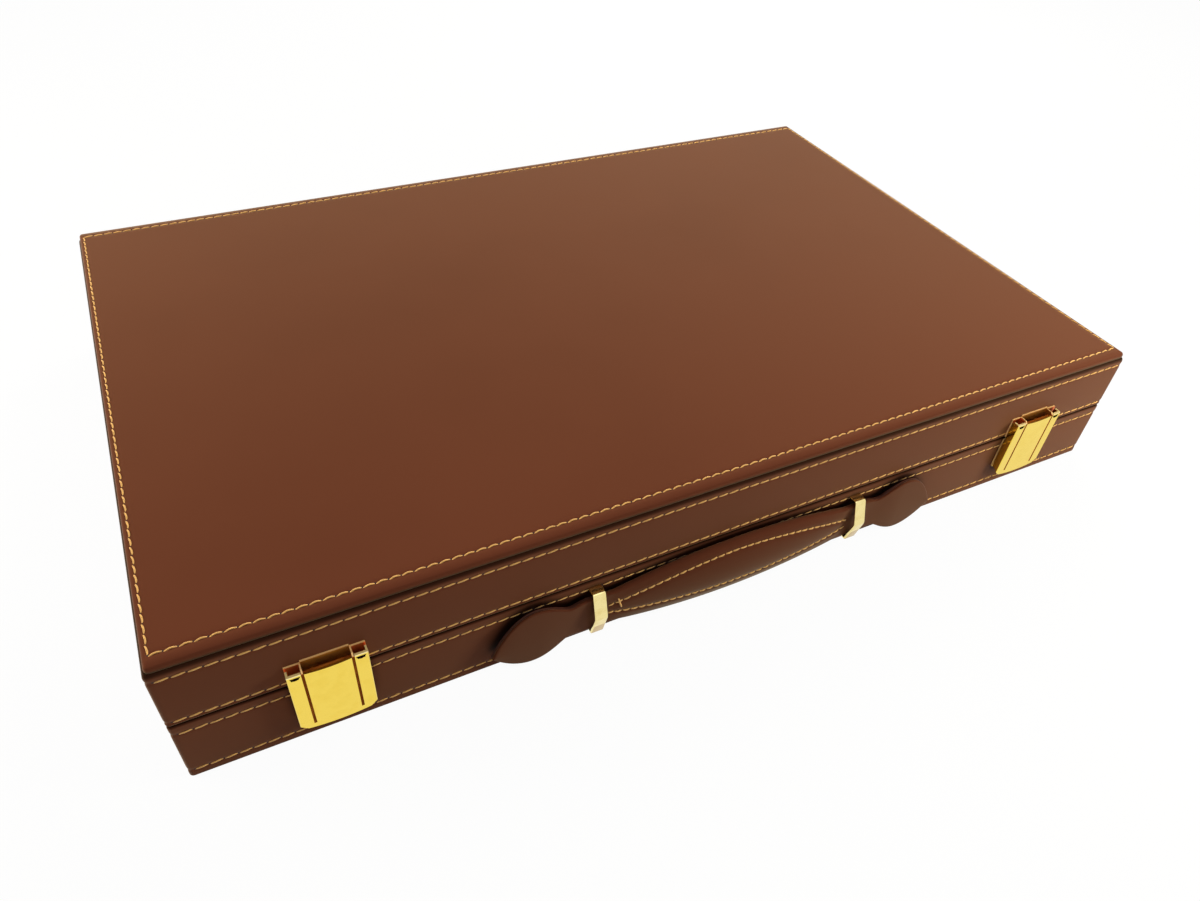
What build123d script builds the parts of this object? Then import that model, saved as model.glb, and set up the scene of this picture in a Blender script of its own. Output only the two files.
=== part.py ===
"""Folding backgammon set: a closed, leather-covered attache-style case with its board and pieces.

Millimetres. The origin is the centre of the case's underside, +X runs along the length,
-Y is the front with the latches and the handle, +Z is up.
"""

import math
import os

from build123d import *

# Case
case_length = 480.0
case_depth = 310.0
base_height = 34.6
lid_height = 34.6
parting_gap = 0.4
corner_radius = 3.0
leather = 1.2
rim_leather = 1.0
inner_leather = 0.8
board = 10.4
floor_board = 4.0
bottom_edge_radius = 1.1
rim_edge_radius = 1.0

# Top panel, a leather-wrapped board that lies on the lid's walls
panel_height = 3.4
panel_leather = 1.2
panel_inset_side = 1.2
panel_inset_front = 0.6
panel_top_radius = 2.0
panel_bottom_radius = 0.8

# Board inside each half
field_sheet = 1.0
point_length = 190.0
point_gap = 0.6
point_wall_gap = 1.0
points_per_side = 6
tray_width = 50.0
rail_width = 7.2
rail_below_rim = 1.0
divider = 4.0
divider_below_rim = 3.0

# Pieces kept in the base's tray
checker_diameter = 36.0
checker_thickness = 8.0
checker_count = 15
checker_edge_radius = 1.2
checker_rest_gap = 0.3
checker_gap = 0.2
stack_room = 122.0
dice_room = 39.2
cup_diameter = 44.0
cup_end_gap = 2.0
cup_wall = 3.0
die_size = 13.0
die_gap = 2.0
die_turn = 8.0
die_radius = 1.6
cube_size = 22.0
cube_radius = 2.4

# Butt hinges along the rear edge
hinge_inset = 70.0
hinge_length = 50.0
hinge_out = 0.3
barrel_radius = 2.6
barrel_clearance = 0.3
knuckles = 5
knuckle_gap = 0.3
leaf = 1.2
leaf_reach = 11.0
pin_radius = 1.25
pin_clearance = 0.05
pin_overhang = 0.2
screw_spacing = 32.0
screw_head_radius = 1.9
screw_head_depth = 1.0
screw_shank_radius = 1.0
screw_length = 9.0
screw_inset = 3.6
fastener_clearance = 0.05

# Latches: a hasp hung from a bracket on the lid, hooked under a catch on the base
latch_inset = 57.4
latch_width = 30.0
sheet = 0.8
lever_sheet = 1.0
lever_back = 3.9
lever_bottom = 10.0
lever_corner_rise = 3.6
lever_corner_cut = 2.6
lever_foot_rise = 1.1
lever_edge = 0.3
lever_rise = 11.4
tongue_drop = 0.7
tongue_dip = 0.7
slit_centre = 9.25
slit_width = 1.1
slit_bottom = 13.5
window_width = 2.8
window_height = 1.2
window_centre = 12.2
window_drop = 2.1
flange_back = 1.15
flange_bottom = 15.5
flange_foot = 1.0
flange_top_reach = 1.55
latch_pin_out = 3.3
latch_pin_below_top = 1.5
latch_pin_radius = 0.5
latch_pin_clearance = 0.05
cheek = 0.6
cheek_reach = 4.7
cheek_foot = 2.0
cheek_slope_drop = 3.0
cheek_nose_drop = 0.8
cheek_top_drop = 0.3
cheek_heel = 0.2
cheek_lean = 0.4
bracket_rise = 12.2
bracket_ridge = 1.0
plate_margin = 0.6
catch_bottom = 14.5
nose_width = 10.0
nose_bottom = 21.2
nose_height = 2.8
nose_out = 3.0
lip_width = 8.0
lip_sheet = 0.9
lip_gap = 0.3
lip_reach = 1.9
rivet_radius = 1.1
rivet_head_radius = 2.0
rivet_head = 0.7
rivet_depth = 7.0
rivet_edge_radius = 0.28
catch_rivet_side = 9.5
catch_rivet_drop = 6.6
bracket_rivet_side = 5.5
bracket_rivet_rise = 4.6

# Handle: one strap through two loops, with a padded grip between them
strap_height_centre = 17.4
strap_off_wall = 1.7
strap_thickness = 2.6
strap_half_height = 10.0
strap_edge_radius = 0.6
tab_inner = 62.0
neck_flare = 7.0
neck_flare_rise = 3.0
neck_end = 83.0
tab_shoulder = 101.0
tab_half_height = 16.2
tab_tip = 119.5
tab_round = 6.0
tab_round_half_height = 11.0
tab_end_slope = 0.05
facing_thickness = 1.2
facing_start = 85.0
link_inner = 34.0
grip_half_height = 16.4
pad_half_length = 62.0
pad_half_height = 12.0
pad_bulge = 5.0
pad_end_half_height = 2.2
pad_end_bulge = 0.7
pad_fullness = 0.6
pad_sections = (-1.0, -0.72, -0.38, 0.0, 0.38, 0.72, 1.0)
loop_centre = 70.4
loop_width = 6.2
loop_sheet = 1.0
loop_slant = 1.05
loop_edge_radius = 0.8
loop_top = 30.8
loop_top_out = 4.9
loop_bend = 18.2
loop_bend_out = 8.8
loop_bottom = 5.0
loop_bottom_out = 5.5
prong_depth = 8.0

# Worked out from the sizes above
front_y = -case_depth / 2
rear_y = case_depth / 2
lid_bottom = base_height + parting_gap
case_top = lid_bottom + lid_height
panel_bottom = case_top - panel_height
wall = leather + board + inner_leather
well_length = case_length - 2 * wall
well_depth = case_depth - 2 * wall
well_front = front_y + wall
well_rear = rear_y - wall
tray_centre = well_front + tray_width / 2
rail_centre = well_front + tray_width + rail_width / 2
field_front = well_front + tray_width + rail_width
field_width = well_rear - field_front
point_pitch = field_width / points_per_side
floor_top = leather + floor_board
hinge_y = rear_y + hinge_out
hinge_z = base_height + parting_gap / 2
hinge_places = (-case_length / 2 + hinge_inset, 0.0, case_length / 2 - hinge_inset)
latch_places = (-case_length / 2 + latch_inset, case_length / 2 - latch_inset)
lever_top = lid_bottom + lever_rise
bracket_top = lid_bottom + bracket_rise
bracket_rivet_height = lid_bottom + bracket_rivet_rise
catch_rivet_height = base_height - catch_rivet_drop
latch_pin_z = lever_top - latch_pin_below_top
cup_room = (well_length - 2 * stack_room - 4 * divider - dice_room) / 2
cup_length = cup_room - 2 * cup_end_gap
strap_front = strap_off_wall + strap_thickness


def save(part, label):
    """Names a finished piece and writes its file."""
    part.label = label
    export_step(part, f"parts/{label}.step")


def front_plane(out=0.0, x=0.0):
    """A plane parallel to the front wall: local X is X, local Y is Z, and the normal points out."""
    return Plane(origin=(x, front_y - out, 0), x_dir=(1, 0, 0), z_dir=(0, -1, 0))


def side_plane(x):
    """A plane across the case at x: local X points out of the front wall, local Y is Z."""
    return Plane(origin=(x, front_y, 0), x_dir=(0, -1, 0), z_dir=(-1, 0, 0))


def block(x_range, y_range, z_range):
    """A plain box between two corners, used for boards and for cutting spaces."""
    with BuildPart() as piece:
        with BuildSketch(Plane.XY.offset(z_range[0])):
            with Locations((sum(x_range) / 2, sum(y_range) / 2)):
                Rectangle(x_range[1] - x_range[0], y_range[1] - y_range[0])
        extrude(amount=z_range[1] - z_range[0])
    return piece.part


# Fasteners


def screw(grow=0.0):
    """A countersunk screw, head up, with its head's top at the origin."""
    head = screw_head_radius + grow
    shank = screw_shank_radius + grow
    with BuildPart() as piece:
        with BuildSketch(Plane.XZ):
            with BuildLine():
                Polyline(
                    (0, 0),
                    (head, 0),
                    (shank, -screw_head_depth),
                    (shank, -screw_length - grow),
                    (0, -screw_length - grow),
                    close=True,
                )
            make_face()
        revolve(axis=Axis.Z)
    return piece.part


def rivet(grow=0.0):
    """A flat-headed rivet, head up, that starts on top of a sheet at the origin."""
    shank = rivet_radius + grow
    with BuildPart() as piece:
        with BuildSketch(Plane.XY):
            Circle(rivet_head_radius)
        extrude(amount=rivet_head)
        fillet(piece.edges().group_by(Axis.Z)[-1], rivet_edge_radius)
        with BuildSketch(Plane.XY):
            Circle(shank)
        extrude(amount=-(sheet + leather + rivet_depth + grow))
    return piece.part


def rivet_spots(side, height):
    """Two rivets beside each latch's centre, on the outer face of its sheet."""
    return [
        Location((x + s * side, front_y - sheet, height), (90, 0, 0))
        for x in latch_places
        for s in (-1, 1)
    ]


def screw_spots(upper):
    """Two screws in each hinge leaf, heads flush with the leaf's meeting face."""
    z = lid_bottom if upper else base_height
    turn = 180 if upper else 0
    y = rear_y - leaf_reach + screw_inset
    return [
        Location((x + s * screw_spacing / 2, y, z), (turn, 0, 0))
        for x in hinge_places
        for s in (-1, 1)
    ]


def group(shape, spots):
    """Copies of one fastener at each spot, as separate solids."""
    with BuildPart() as pieces:
        with Locations(*spots):
            add(shape)
    return pieces.part


def catch_rivets(grow=0.0):
    return group(rivet(grow), rivet_spots(catch_rivet_side, catch_rivet_height))


def bracket_rivets(grow=0.0):
    return group(rivet(grow), rivet_spots(bracket_rivet_side, bracket_rivet_height))


# Hinges


def hinge_space():
    """What the boards and the leather give up for the hinges' leaves and barrels."""
    with BuildPart() as space:
        for x in hinge_places:
            with BuildSketch(Plane.YZ.offset(x)):
                with Locations((hinge_y, hinge_z)):
                    Circle(barrel_radius + barrel_clearance)
                with Locations((rear_y - leaf_reach / 2, hinge_z)):
                    Rectangle(leaf_reach, 2 * leaf + parting_gap)
            extrude(amount=hinge_length / 2 + pin_overhang + knuckle_gap, both=True)
    return space.part


def hinge_leaves(upper):
    """Three leaves with their knuckles: odd knuckles on the base, even ones on the lid."""
    low = lid_bottom if upper else base_height - leaf
    pitch = hinge_length / knuckles
    first = 1 if upper else 0
    stop = hinge_y - barrel_radius - barrel_clearance
    with BuildPart() as leaves:
        for x in hinge_places:
            ends = (x - hinge_length / 2, x + hinge_length / 2)
            add(block(ends, (rear_y - leaf_reach, stop), (low, low + leaf)))
            for k in range(first, knuckles, 2):
                start = ends[0] + k * pitch + knuckle_gap / 2
                length = pitch - knuckle_gap
                with BuildSketch(Plane.YZ.offset(start)):
                    with Locations((hinge_y, hinge_z)):
                        Circle(barrel_radius)
                    with Locations(((stop + hinge_y) / 2, low + leaf / 2)):
                        Rectangle(hinge_y - stop, leaf)
                extrude(amount=length)
            with BuildSketch(Plane.YZ.offset(x)):
                with Locations((hinge_y, hinge_z)):
                    Circle(pin_radius + pin_clearance)
            extrude(amount=hinge_length, both=True, mode=Mode.SUBTRACT)
        with Locations(*screw_spots(upper)):
            add(screw(fastener_clearance), mode=Mode.SUBTRACT)
    return leaves.part


def hinge_pins():
    with BuildPart() as pins:
        for x in hinge_places:
            with BuildSketch(Plane.YZ.offset(x)):
                with Locations((hinge_y, hinge_z)):
                    Circle(pin_radius)
            extrude(amount=hinge_length / 2 + pin_overhang, both=True)
    return pins.part


# Handle loops


def loop_outline(inside):
    """The loop's bent profile as points (out from the wall, height), outer or inner side."""
    t = loop_sheet if inside else 0.0
    # the slanted runs lie almost along Z, so their thickness comes off the reach, times the slant
    return [
        (0, loop_bottom + t),
        (loop_bottom_out - t, loop_bottom + t),
        (loop_bend_out - t * loop_slant, loop_bend),
        (loop_top_out - t, loop_top - t),
        (0, loop_top - t),
    ]


def handle_loop(x):
    """A flat gold loop bent out from the wall, with two prongs driven through it."""
    with BuildPart() as loop:
        with BuildSketch(side_plane(x)):
            with BuildLine():
                Polyline(*loop_outline(False), close=True)
            make_face()
            with BuildLine():
                Polyline(*loop_outline(True), close=True)
            make_face(mode=Mode.SUBTRACT)
        extrude(amount=loop_width / 2, both=True)
        long_edges = loop.edges().filter_by(Axis.X).group_by(Axis.Y)[0]
        fillet(long_edges, loop_edge_radius)
        add(loop_prongs(x))
    return loop.part


def loop_prongs(x):
    """The two prongs of one loop, which pass through the leather into the front board."""
    half = loop_width / 2
    y_range = (front_y, front_y + prong_depth)
    with BuildPart() as prongs:
        add(block((x - half, x + half), y_range, (loop_top - loop_sheet, loop_top)))
        add(block((x - half, x + half), y_range, (loop_bottom, loop_bottom + loop_sheet)))
    return prongs.part


# Case halves


def board_ring(low, high):
    """The space of the four wall boards between two heights."""
    with BuildPart() as ring:
        with BuildSketch(Plane.XY.offset(low)):
            RectangleRounded(
                case_length - 2 * leather, case_depth - 2 * leather, corner_radius - leather
            )
            Rectangle(
                well_length + 2 * inner_leather,
                well_depth + 2 * inner_leather,
                mode=Mode.SUBTRACT,
            )
        extrude(amount=high - low)
    return ring.part


def wall_boards(prefix, low, high, spaces):
    """Front and rear boards run the full length, and the side boards stand between them."""
    ring = board_ring(low, high)
    outer_x = case_length / 2
    split_y = case_depth / 2 - leather - board
    far = case_depth
    regions = {
        "front_board": ((-outer_x, outer_x), (-far, -split_y)),
        "rear_board": ((-outer_x, outer_x), (split_y, far)),
        "left_board": ((-outer_x, 0), (-split_y, split_y)),
        "right_board": ((0, outer_x), (-split_y, split_y)),
    }
    for name, (x_range, y_range) in regions.items():
        region = block(x_range, y_range, (low, high))
        with BuildPart() as piece:
            add(ring)
            add(region, mode=Mode.INTERSECT)
            for space in spaces:
                add(space, mode=Mode.SUBTRACT)
        save(piece.part, f"{prefix}_{name}")


def wall_leather(low, high, hidden, rounded, spaces):
    """Leather that wraps the walls outside, over the rim and down the inside."""
    with BuildPart() as skin:
        with BuildSketch(Plane.XY.offset(low)):
            RectangleRounded(case_length, case_depth, corner_radius)
        extrude(amount=high - low)
        for level, radius in rounded:
            edges = skin.edges().filter_by_position(Axis.Z, level - 0.01, level + 0.01)
            fillet(edges, radius)
        with BuildSketch(Plane.XY.offset(low)):
            Rectangle(well_length, well_depth)
        extrude(amount=high - low, mode=Mode.SUBTRACT)
        for space in hidden:
            add(space, mode=Mode.SUBTRACT)
        for space in spaces:
            add(space, mode=Mode.SUBTRACT)
    return skin.part


def flat_panel(length, depth, radius, low, high):
    with BuildPart() as panel:
        with BuildSketch(Plane.XY.offset(low)):
            RectangleRounded(length, depth, radius)
        extrude(amount=high - low)
    return panel.part


def base_shell():
    """The lower half's boards and leather."""
    rim_board = base_height - rim_leather
    loops = [loop_prongs(s * loop_centre) for s in (-1, 1)]
    spaces = [
        hinge_space(),
        group(screw(fastener_clearance), screw_spots(False)),
        catch_rivets(fastener_clearance),
        *loops,
    ]
    wall_boards("base", leather, rim_board, spaces)
    inner = (well_length + 2 * inner_leather, well_depth + 2 * inner_leather)
    half = (inner[0] / 2, inner[1] / 2)
    floor = block((-half[0], half[0]), (-half[1], half[1]), (leather, floor_top))
    save(floor, "base_floor_board")
    outer = (case_length - 2 * leather, case_depth - 2 * leather, corner_radius - leather)
    save(flat_panel(*outer, 0, leather), "base_bottom_leather")
    hidden = [board_ring(0, rim_board), flat_panel(*outer, 0, floor_top)]
    rounded = [(0, bottom_edge_radius), (base_height, rim_edge_radius)]
    save(wall_leather(0, base_height, hidden, rounded, spaces), "base_wall_leather")


def lid_shell():
    """The upper half's boards and leather, and the wrapped top panel."""
    rim_board = lid_bottom + rim_leather
    spaces = [
        hinge_space(),
        group(screw(fastener_clearance), screw_spots(True)),
        bracket_rivets(fastener_clearance),
    ]
    wall_boards("lid", rim_board, panel_bottom, spaces)
    hidden = [board_ring(rim_board, panel_bottom)]
    rounded = [(lid_bottom, rim_edge_radius), (panel_bottom, rim_edge_radius)]
    skin = wall_leather(lid_bottom, panel_bottom, hidden, rounded, spaces)
    save(skin, "lid_wall_leather")
    length = case_length - 2 * panel_inset_side
    depth = case_depth - 2 * panel_inset_front
    core = flat_panel(
        length - 2 * panel_leather,
        depth - 2 * panel_leather,
        corner_radius - panel_leather,
        panel_bottom,
        case_top - panel_leather,
    )
    save(core, "lid_top_board")
    with BuildPart() as wrap:
        with BuildSketch(Plane.XY.offset(panel_bottom)):
            RectangleRounded(length, depth, corner_radius)
        extrude(amount=panel_height)
        fillet(wrap.edges().group_by(Axis.Z)[-1], panel_top_radius)
        fillet(wrap.edges().group_by(Axis.Z)[0], panel_bottom_radius)
        add(core, mode=Mode.SUBTRACT)
    save(wrap.part, "lid_top_leather")


# Playing surfaces and trays


def point_shapes(parity):
    """Every second point, three on each short side: a triangle with its base near the wall."""
    half = (point_pitch - 2 * point_gap) / 2
    base_x = well_length / 2 - point_wall_gap
    faces = []
    for side in (-1, 1):
        for k in range(points_per_side):
            if (k + (side > 0)) % 2 != parity:
                continue
            y = field_front + (k + 0.5) * point_pitch
            faces.append(
                [(side * base_x, y - half), (side * base_x, y + half), (side * (base_x - point_length), y)]
            )
    return faces


def points(parity, low):
    """The inlaid points of one colour as separate thin solids."""
    with BuildPart() as inlay:
        with BuildSketch(Plane.XY.offset(low)):
            for corners in point_shapes(parity):
                with BuildLine():
                    Polyline(*corners, close=True)
                make_face()
        extrude(amount=field_sheet)
    return inlay.part


def half_interior(prefix, low, rim, rail_low):
    """Field, inlaid points, tray lining and rail of one half, between its floor and its rim."""
    dark = points(0, low)
    light = points(1, low)
    with BuildPart() as field:
        with BuildSketch(Plane.XY.offset(low)):
            with Locations((0, field_front + field_width / 2)):
                Rectangle(well_length, field_width)
        extrude(amount=field_sheet)
        add(dark, mode=Mode.SUBTRACT)
        add(light, mode=Mode.SUBTRACT)
    save(field.part, f"{prefix}_field")
    save(light, f"{prefix}_light_points")
    save(dark, f"{prefix}_dark_points")
    half = well_length / 2
    tray = (well_front, well_front + tray_width)
    save(block((-half, half), tray, (low, low + field_sheet)), f"{prefix}_tray_lining")
    rail_y = (rail_centre - rail_width / 2, rail_centre + rail_width / 2)
    save(block((-half, half), rail_y, sorted((rail_low, rim))), f"{prefix}_tray_rail")


def divider_places():
    """Centres of the base tray's four dividers."""
    first = well_length / 2 - stack_room - divider / 2
    second = first - cup_room - divider
    return (-first, -second, second, first)


def base_interior():
    half_interior("base", floor_top, base_height - rail_below_rim, floor_top)
    tray = (well_front, well_front + tray_width)
    low = floor_top + field_sheet
    high = base_height - divider_below_rim
    with BuildPart() as dividers:
        for x in divider_places():
            add(block((x - divider / 2, x + divider / 2), tray, (low, high)))
    save(dividers.part, "base_tray_dividers")


def lid_interior():
    ceiling = panel_bottom - field_sheet
    half_interior("lid", ceiling, lid_bottom + rail_below_rim, panel_bottom)
    tray = (well_front, well_front + tray_width)
    low = lid_bottom + divider_below_rim
    save(block((-divider / 2, divider / 2), tray, (low, ceiling)), "lid_tray_divider")


# Playing pieces


def checkers(side):
    """Fifteen checkers on edge in the outer compartment of one side."""
    room = well_length / 2 - divider_places()[-1] - divider / 2
    slack = (room - checker_count * checker_thickness) / 2
    start = well_length / 2 - room + slack
    z = floor_top + field_sheet + checker_diameter / 2 + checker_rest_gap
    with BuildPart() as one:
        with BuildSketch(Plane.YZ):
            Circle(checker_diameter / 2)
        extrude(amount=checker_thickness - checker_gap)
        fillet(one.edges(), checker_edge_radius)
    spots = []
    for k in range(checker_count):
        x = start + k * checker_thickness
        if side < 0:
            x = -x - checker_thickness
        spots.append(Location((x, tray_centre, z)))
    return group(one.part, spots)


def dice_cup(side):
    """A cup on its side in its compartment, with its mouth towards the dice."""
    edge = divider_places()[2] + divider / 2
    centre = edge + cup_room / 2
    z = floor_top + field_sheet + cup_diameter / 2 + checker_rest_gap
    start = side * (centre + cup_length / 2)
    reach = -side * cup_length
    plane = Plane(origin=(start, tray_centre, z), x_dir=(0, 1, 0), z_dir=(-side, 0, 0))
    with BuildPart() as cup:
        with BuildSketch(plane):
            Circle(cup_diameter / 2)
        extrude(amount=abs(reach))
        fillet(cup.edges().filter_by(GeomType.CIRCLE).sort_by(Axis.X)[0 if side < 0 else -1], cup_wall / 2)
        with BuildSketch(plane.offset(cup_wall)):
            Circle(cup_diameter / 2 - cup_wall)
        extrude(amount=cup_length, mode=Mode.SUBTRACT)
    return cup.part


def rounded_cube(size, radius):
    with BuildPart() as cube:
        with BuildSketch():
            Rectangle(size, size)
        extrude(amount=size)
        fillet(cube.edges(), radius)
    return cube.part


def dice_spots():
    """Two dice beside the doubling cube and two behind it, in the middle compartment."""
    low = floor_top + field_sheet
    pitch = die_size + die_gap
    right = divider_places()[2] - divider / 2 - die_gap - die_size / 2
    rear = well_front + tray_width - die_gap - die_size / 2
    return [
        Location((right, rear, low)),
        Location((right - pitch, rear, low), (0, 0, die_turn)),
        Location((right, rear - pitch, low)),
        Location((right, rear - 2 * pitch, low)),
    ]


def doubling_cube():
    low = floor_top + field_sheet
    left = divider_places()[1] + divider / 2 + die_gap + cube_size / 2
    front = well_front + die_gap + cube_size / 2
    return group(rounded_cube(cube_size, cube_radius), [Location((left, front, low))])


def playing_pieces():
    save(checkers(-1), "dark_checkers")
    save(checkers(1), "light_checkers")
    save(dice_cup(-1), "left_dice_cup")
    save(dice_cup(1), "right_dice_cup")
    save(group(rounded_cube(die_size, die_radius), dice_spots()), "dice")
    save(doubling_cube(), "doubling_cube")


# Latches


def latch_lever(x):
    """The hasp: a front plate with a tongue between two slits, side flanges and a hooked lip."""
    half = latch_width / 2
    cut = half - lever_corner_cut
    side = lever_bottom + lever_corner_rise
    foot = lever_bottom + lever_foot_rise
    tongue = slit_centre - slit_width / 2
    edge = lever_top - tongue_drop
    above = lever_top + lever_sheet
    with BuildPart() as lever:
        with BuildSketch(front_plane(lever_back, x)):
            with BuildLine():
                Polyline((-cut, foot), (-half, side), (-half, lever_top), (half, lever_top))
                Polyline((half, lever_top), (half, side), (cut, foot))
                ThreePointArc((cut, foot), (0, lever_bottom), (-cut, foot))
            make_face()
            with Locations((-slit_centre, slit_bottom), (slit_centre, slit_bottom)):
                Rectangle(slit_width, lever_top, align=(Align.CENTER, Align.MIN), mode=Mode.SUBTRACT)
            with Locations(
                (-window_centre, lever_top - window_drop), (window_centre, lever_top - window_drop)
            ):
                Rectangle(window_width, window_height, mode=Mode.SUBTRACT)
            with BuildLine():
                ThreePointArc((-tongue, edge), (0, edge - tongue_dip), (tongue, edge))
                Polyline((tongue, edge), (tongue, above), (-tongue, above), (-tongue, edge))
            make_face(mode=Mode.SUBTRACT)
        extrude(amount=lever_sheet)
        front = front_y - lever_back - lever_sheet
        outline = lever.edges().filter_by_position(Axis.Y, front - 0.01, front + 0.01)
        below_slits = slit_bottom - lever_sheet
        rim = [
            e for e in outline if abs(e.center().X - x) > half - sheet or e.center().Z < below_slits
        ]
        chamfer(rim, lever_edge)
        for s in (-1, 1):
            flange = side_plane(x + s * (half - sheet / 2))
            with BuildSketch(flange):
                with BuildLine():
                    Polyline(
                        (flange_back, flange_bottom),
                        (lever_back, flange_bottom - flange_foot),
                        (lever_back, lever_top),
                        (latch_pin_out, lever_top),
                        (latch_pin_out - flange_top_reach, lever_top),
                        (flange_back, latch_pin_z),
                        close=True,
                    )
                make_face()
                with Locations((latch_pin_out, latch_pin_z)):
                    Circle(latch_pin_radius + latch_pin_clearance, mode=Mode.SUBTRACT)
            extrude(amount=sheet / 2, both=True)
        lip_top = nose_bottom - lip_gap
        reach = (front_y - lever_back, front_y - lip_reach)
        add(block((x - lip_width / 2, x + lip_width / 2), reach, (lip_top - lip_sheet, lip_top)))
    return lever.part


def latch_bracket(x):
    """The lid's sheet bracket: a back plate with two cheeks that hold the hinge pin."""
    half = latch_width / 2
    low = lid_bottom + plate_margin
    ridge = slit_centre - cheek / 2
    with BuildPart() as bracket:
        with BuildSketch(front_plane(0, x)):
            with BuildLine():
                Polyline(
                    (-half, low),
                    (half, low),
                    (half, bracket_top),
                    (ridge, bracket_top),
                    (ridge, bracket_top + bracket_ridge),
                    (-ridge, bracket_top + bracket_ridge),
                    (-ridge, bracket_top),
                    (-half, bracket_top),
                    close=True,
                )
            make_face()
        extrude(amount=sheet)
        for s in (-1, 1):
            with BuildSketch(side_plane(x + s * slit_centre)):
                with BuildLine():
                    Polyline(
                        (sheet, low + cheek_foot),
                        (latch_pin_out + cheek_heel, latch_pin_z - cheek_slope_drop),
                        (cheek_reach, latch_pin_z - cheek_nose_drop),
                        (cheek_reach, lever_top - cheek_top_drop),
                        (latch_pin_out + cheek_lean, bracket_top),
                        (sheet, bracket_top),
                        close=True,
                    )
                make_face()
                with Locations((latch_pin_out, latch_pin_z)):
                    Circle(latch_pin_radius + latch_pin_clearance, mode=Mode.SUBTRACT)
            extrude(amount=cheek / 2, both=True)
        with Locations(*rivet_spots(bracket_rivet_side, bracket_rivet_height)):
            add(rivet(fastener_clearance), mode=Mode.SUBTRACT)
    return bracket.part


def latch_pin(x):
    with BuildPart() as pin:
        with BuildSketch(side_plane(x)):
            with Locations((latch_pin_out, latch_pin_z)):
                Circle(latch_pin_radius)
        extrude(amount=latch_width / 2, both=True)
    return pin.part


def latch_catch(x):
    """The base's sheet catch: a back plate with a nose that the lever's lip hooks under."""
    half = latch_width / 2
    high = base_height - plate_margin
    with BuildPart() as catch:
        with BuildSketch(front_plane(0, x)):
            with Locations((0, (catch_bottom + high) / 2)):
                RectangleRounded(2 * half, high - catch_bottom, sheet)
        extrude(amount=sheet)
        with BuildSketch(side_plane(x)):
            with BuildLine():
                Polyline(
                    (sheet, nose_bottom),
                    (nose_out, nose_bottom),
                    (nose_out, nose_bottom + sheet),
                    (sheet, nose_bottom + nose_height),
                    close=True,
                )
            make_face()
        extrude(amount=nose_width / 2, both=True)
        with Locations(*rivet_spots(catch_rivet_side, catch_rivet_height)):
            add(rivet(fastener_clearance), mode=Mode.SUBTRACT)
    return catch.part


def latches():
    for name, x in zip(("left", "right"), latch_places):
        save(latch_lever(x), f"{name}_latch_lever")
        save(latch_bracket(x), f"{name}_latch_bracket")
        save(latch_pin(x), f"{name}_latch_pin")
        save(latch_catch(x), f"{name}_latch_catch")
    save(catch_rivets(), "catch_rivets")
    save(bracket_rivets(), "bracket_rivets")


# Handle


def tab_outline(side, start):
    """Half of a tab's edge, from its straight neck out round the drop to the tip."""
    z = strap_height_centre
    spots = [
        (neck_end, strap_half_height),
        (neck_end + neck_flare, strap_half_height + neck_flare_rise),
        (tab_shoulder, tab_half_height),
        (tab_tip - tab_round, tab_round_half_height),
        (tab_tip, 0),
    ]
    upper = [(side * x, z + h) for x, h in spots]
    lower = [(side * x, z - h) for x, h in reversed(spots)]
    inner = side * start
    with BuildLine() as outline:
        Spline(upper + lower[1:], tangents=[(side, tab_end_slope), (-side, tab_end_slope)])
        Polyline(
            lower[-1],
            (inner, z - strap_half_height),
            (inner, z + strap_half_height),
            upper[0],
        )
    return outline


def handle_tab(side):
    """The strap's end: a straight neck that slides in its loop, and a drop that cannot pass it."""
    outline = tab_outline(side, tab_inner)
    with BuildPart() as tab:
        with BuildSketch(front_plane(strap_off_wall)):
            add(outline.line)
            make_face()
        extrude(amount=strap_thickness)
    return tab.part


def tab_facing(side):
    """The second layer of leather on the drop."""
    outline = tab_outline(side, tab_inner)
    far = tab_tip + neck_flare
    with BuildPart() as facing:
        with BuildSketch(front_plane(strap_front)):
            add(outline.line)
            make_face()
            with Locations((side * (facing_start + far) / 2, strap_height_centre)):
                Rectangle(far - facing_start, 4 * tab_half_height, mode=Mode.INTERSECT)
        extrude(amount=facing_thickness)
        fillet(facing.faces().sort_by(Axis.Y)[0].edges(), strap_edge_radius)
    return facing.part


def strap_piece(low_x, high_x):
    """A stretch of the strap between the tabs, wider towards the middle of the grip."""
    z = strap_height_centre
    with BuildPart() as piece:
        with BuildSketch(front_plane(strap_off_wall)):
            with BuildLine():
                ThreePointArc(
                    (-tab_inner, z + strap_half_height),
                    (0, z + grip_half_height),
                    (tab_inner, z + strap_half_height),
                )
                Line((tab_inner, z + strap_half_height), (tab_inner, z - strap_half_height))
                ThreePointArc(
                    (tab_inner, z - strap_half_height),
                    (0, z - grip_half_height),
                    (-tab_inner, z - strap_half_height),
                )
                Line((-tab_inner, z - strap_half_height), (-tab_inner, z + strap_half_height))
            make_face()
            with Locations(((low_x + high_x) / 2, z)):
                Rectangle(high_x - low_x, 4 * grip_half_height, mode=Mode.INTERSECT)
        extrude(amount=strap_thickness)
    return piece.part


def grip_pad():
    """The padded front of the grip, a lens with a crown, lofted through flat-backed sections."""
    z = strap_height_centre
    with BuildPart() as pad:
        for share in pad_sections:
            full = math.cos(share * math.pi / 2)
            half = pad_end_half_height + (pad_half_height - pad_end_half_height) * full
            bulge = pad_end_bulge + (pad_bulge - pad_end_bulge) * full**pad_fullness
            with BuildSketch(side_plane(share * pad_half_length)):
                with BuildLine():
                    ThreePointArc(
                        (strap_front, z - half), (strap_front + bulge, z), (strap_front, z + half)
                    )
                    Line((strap_front, z + half), (strap_front, z - half))
                make_face()
        loft()
    return pad.part


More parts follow.
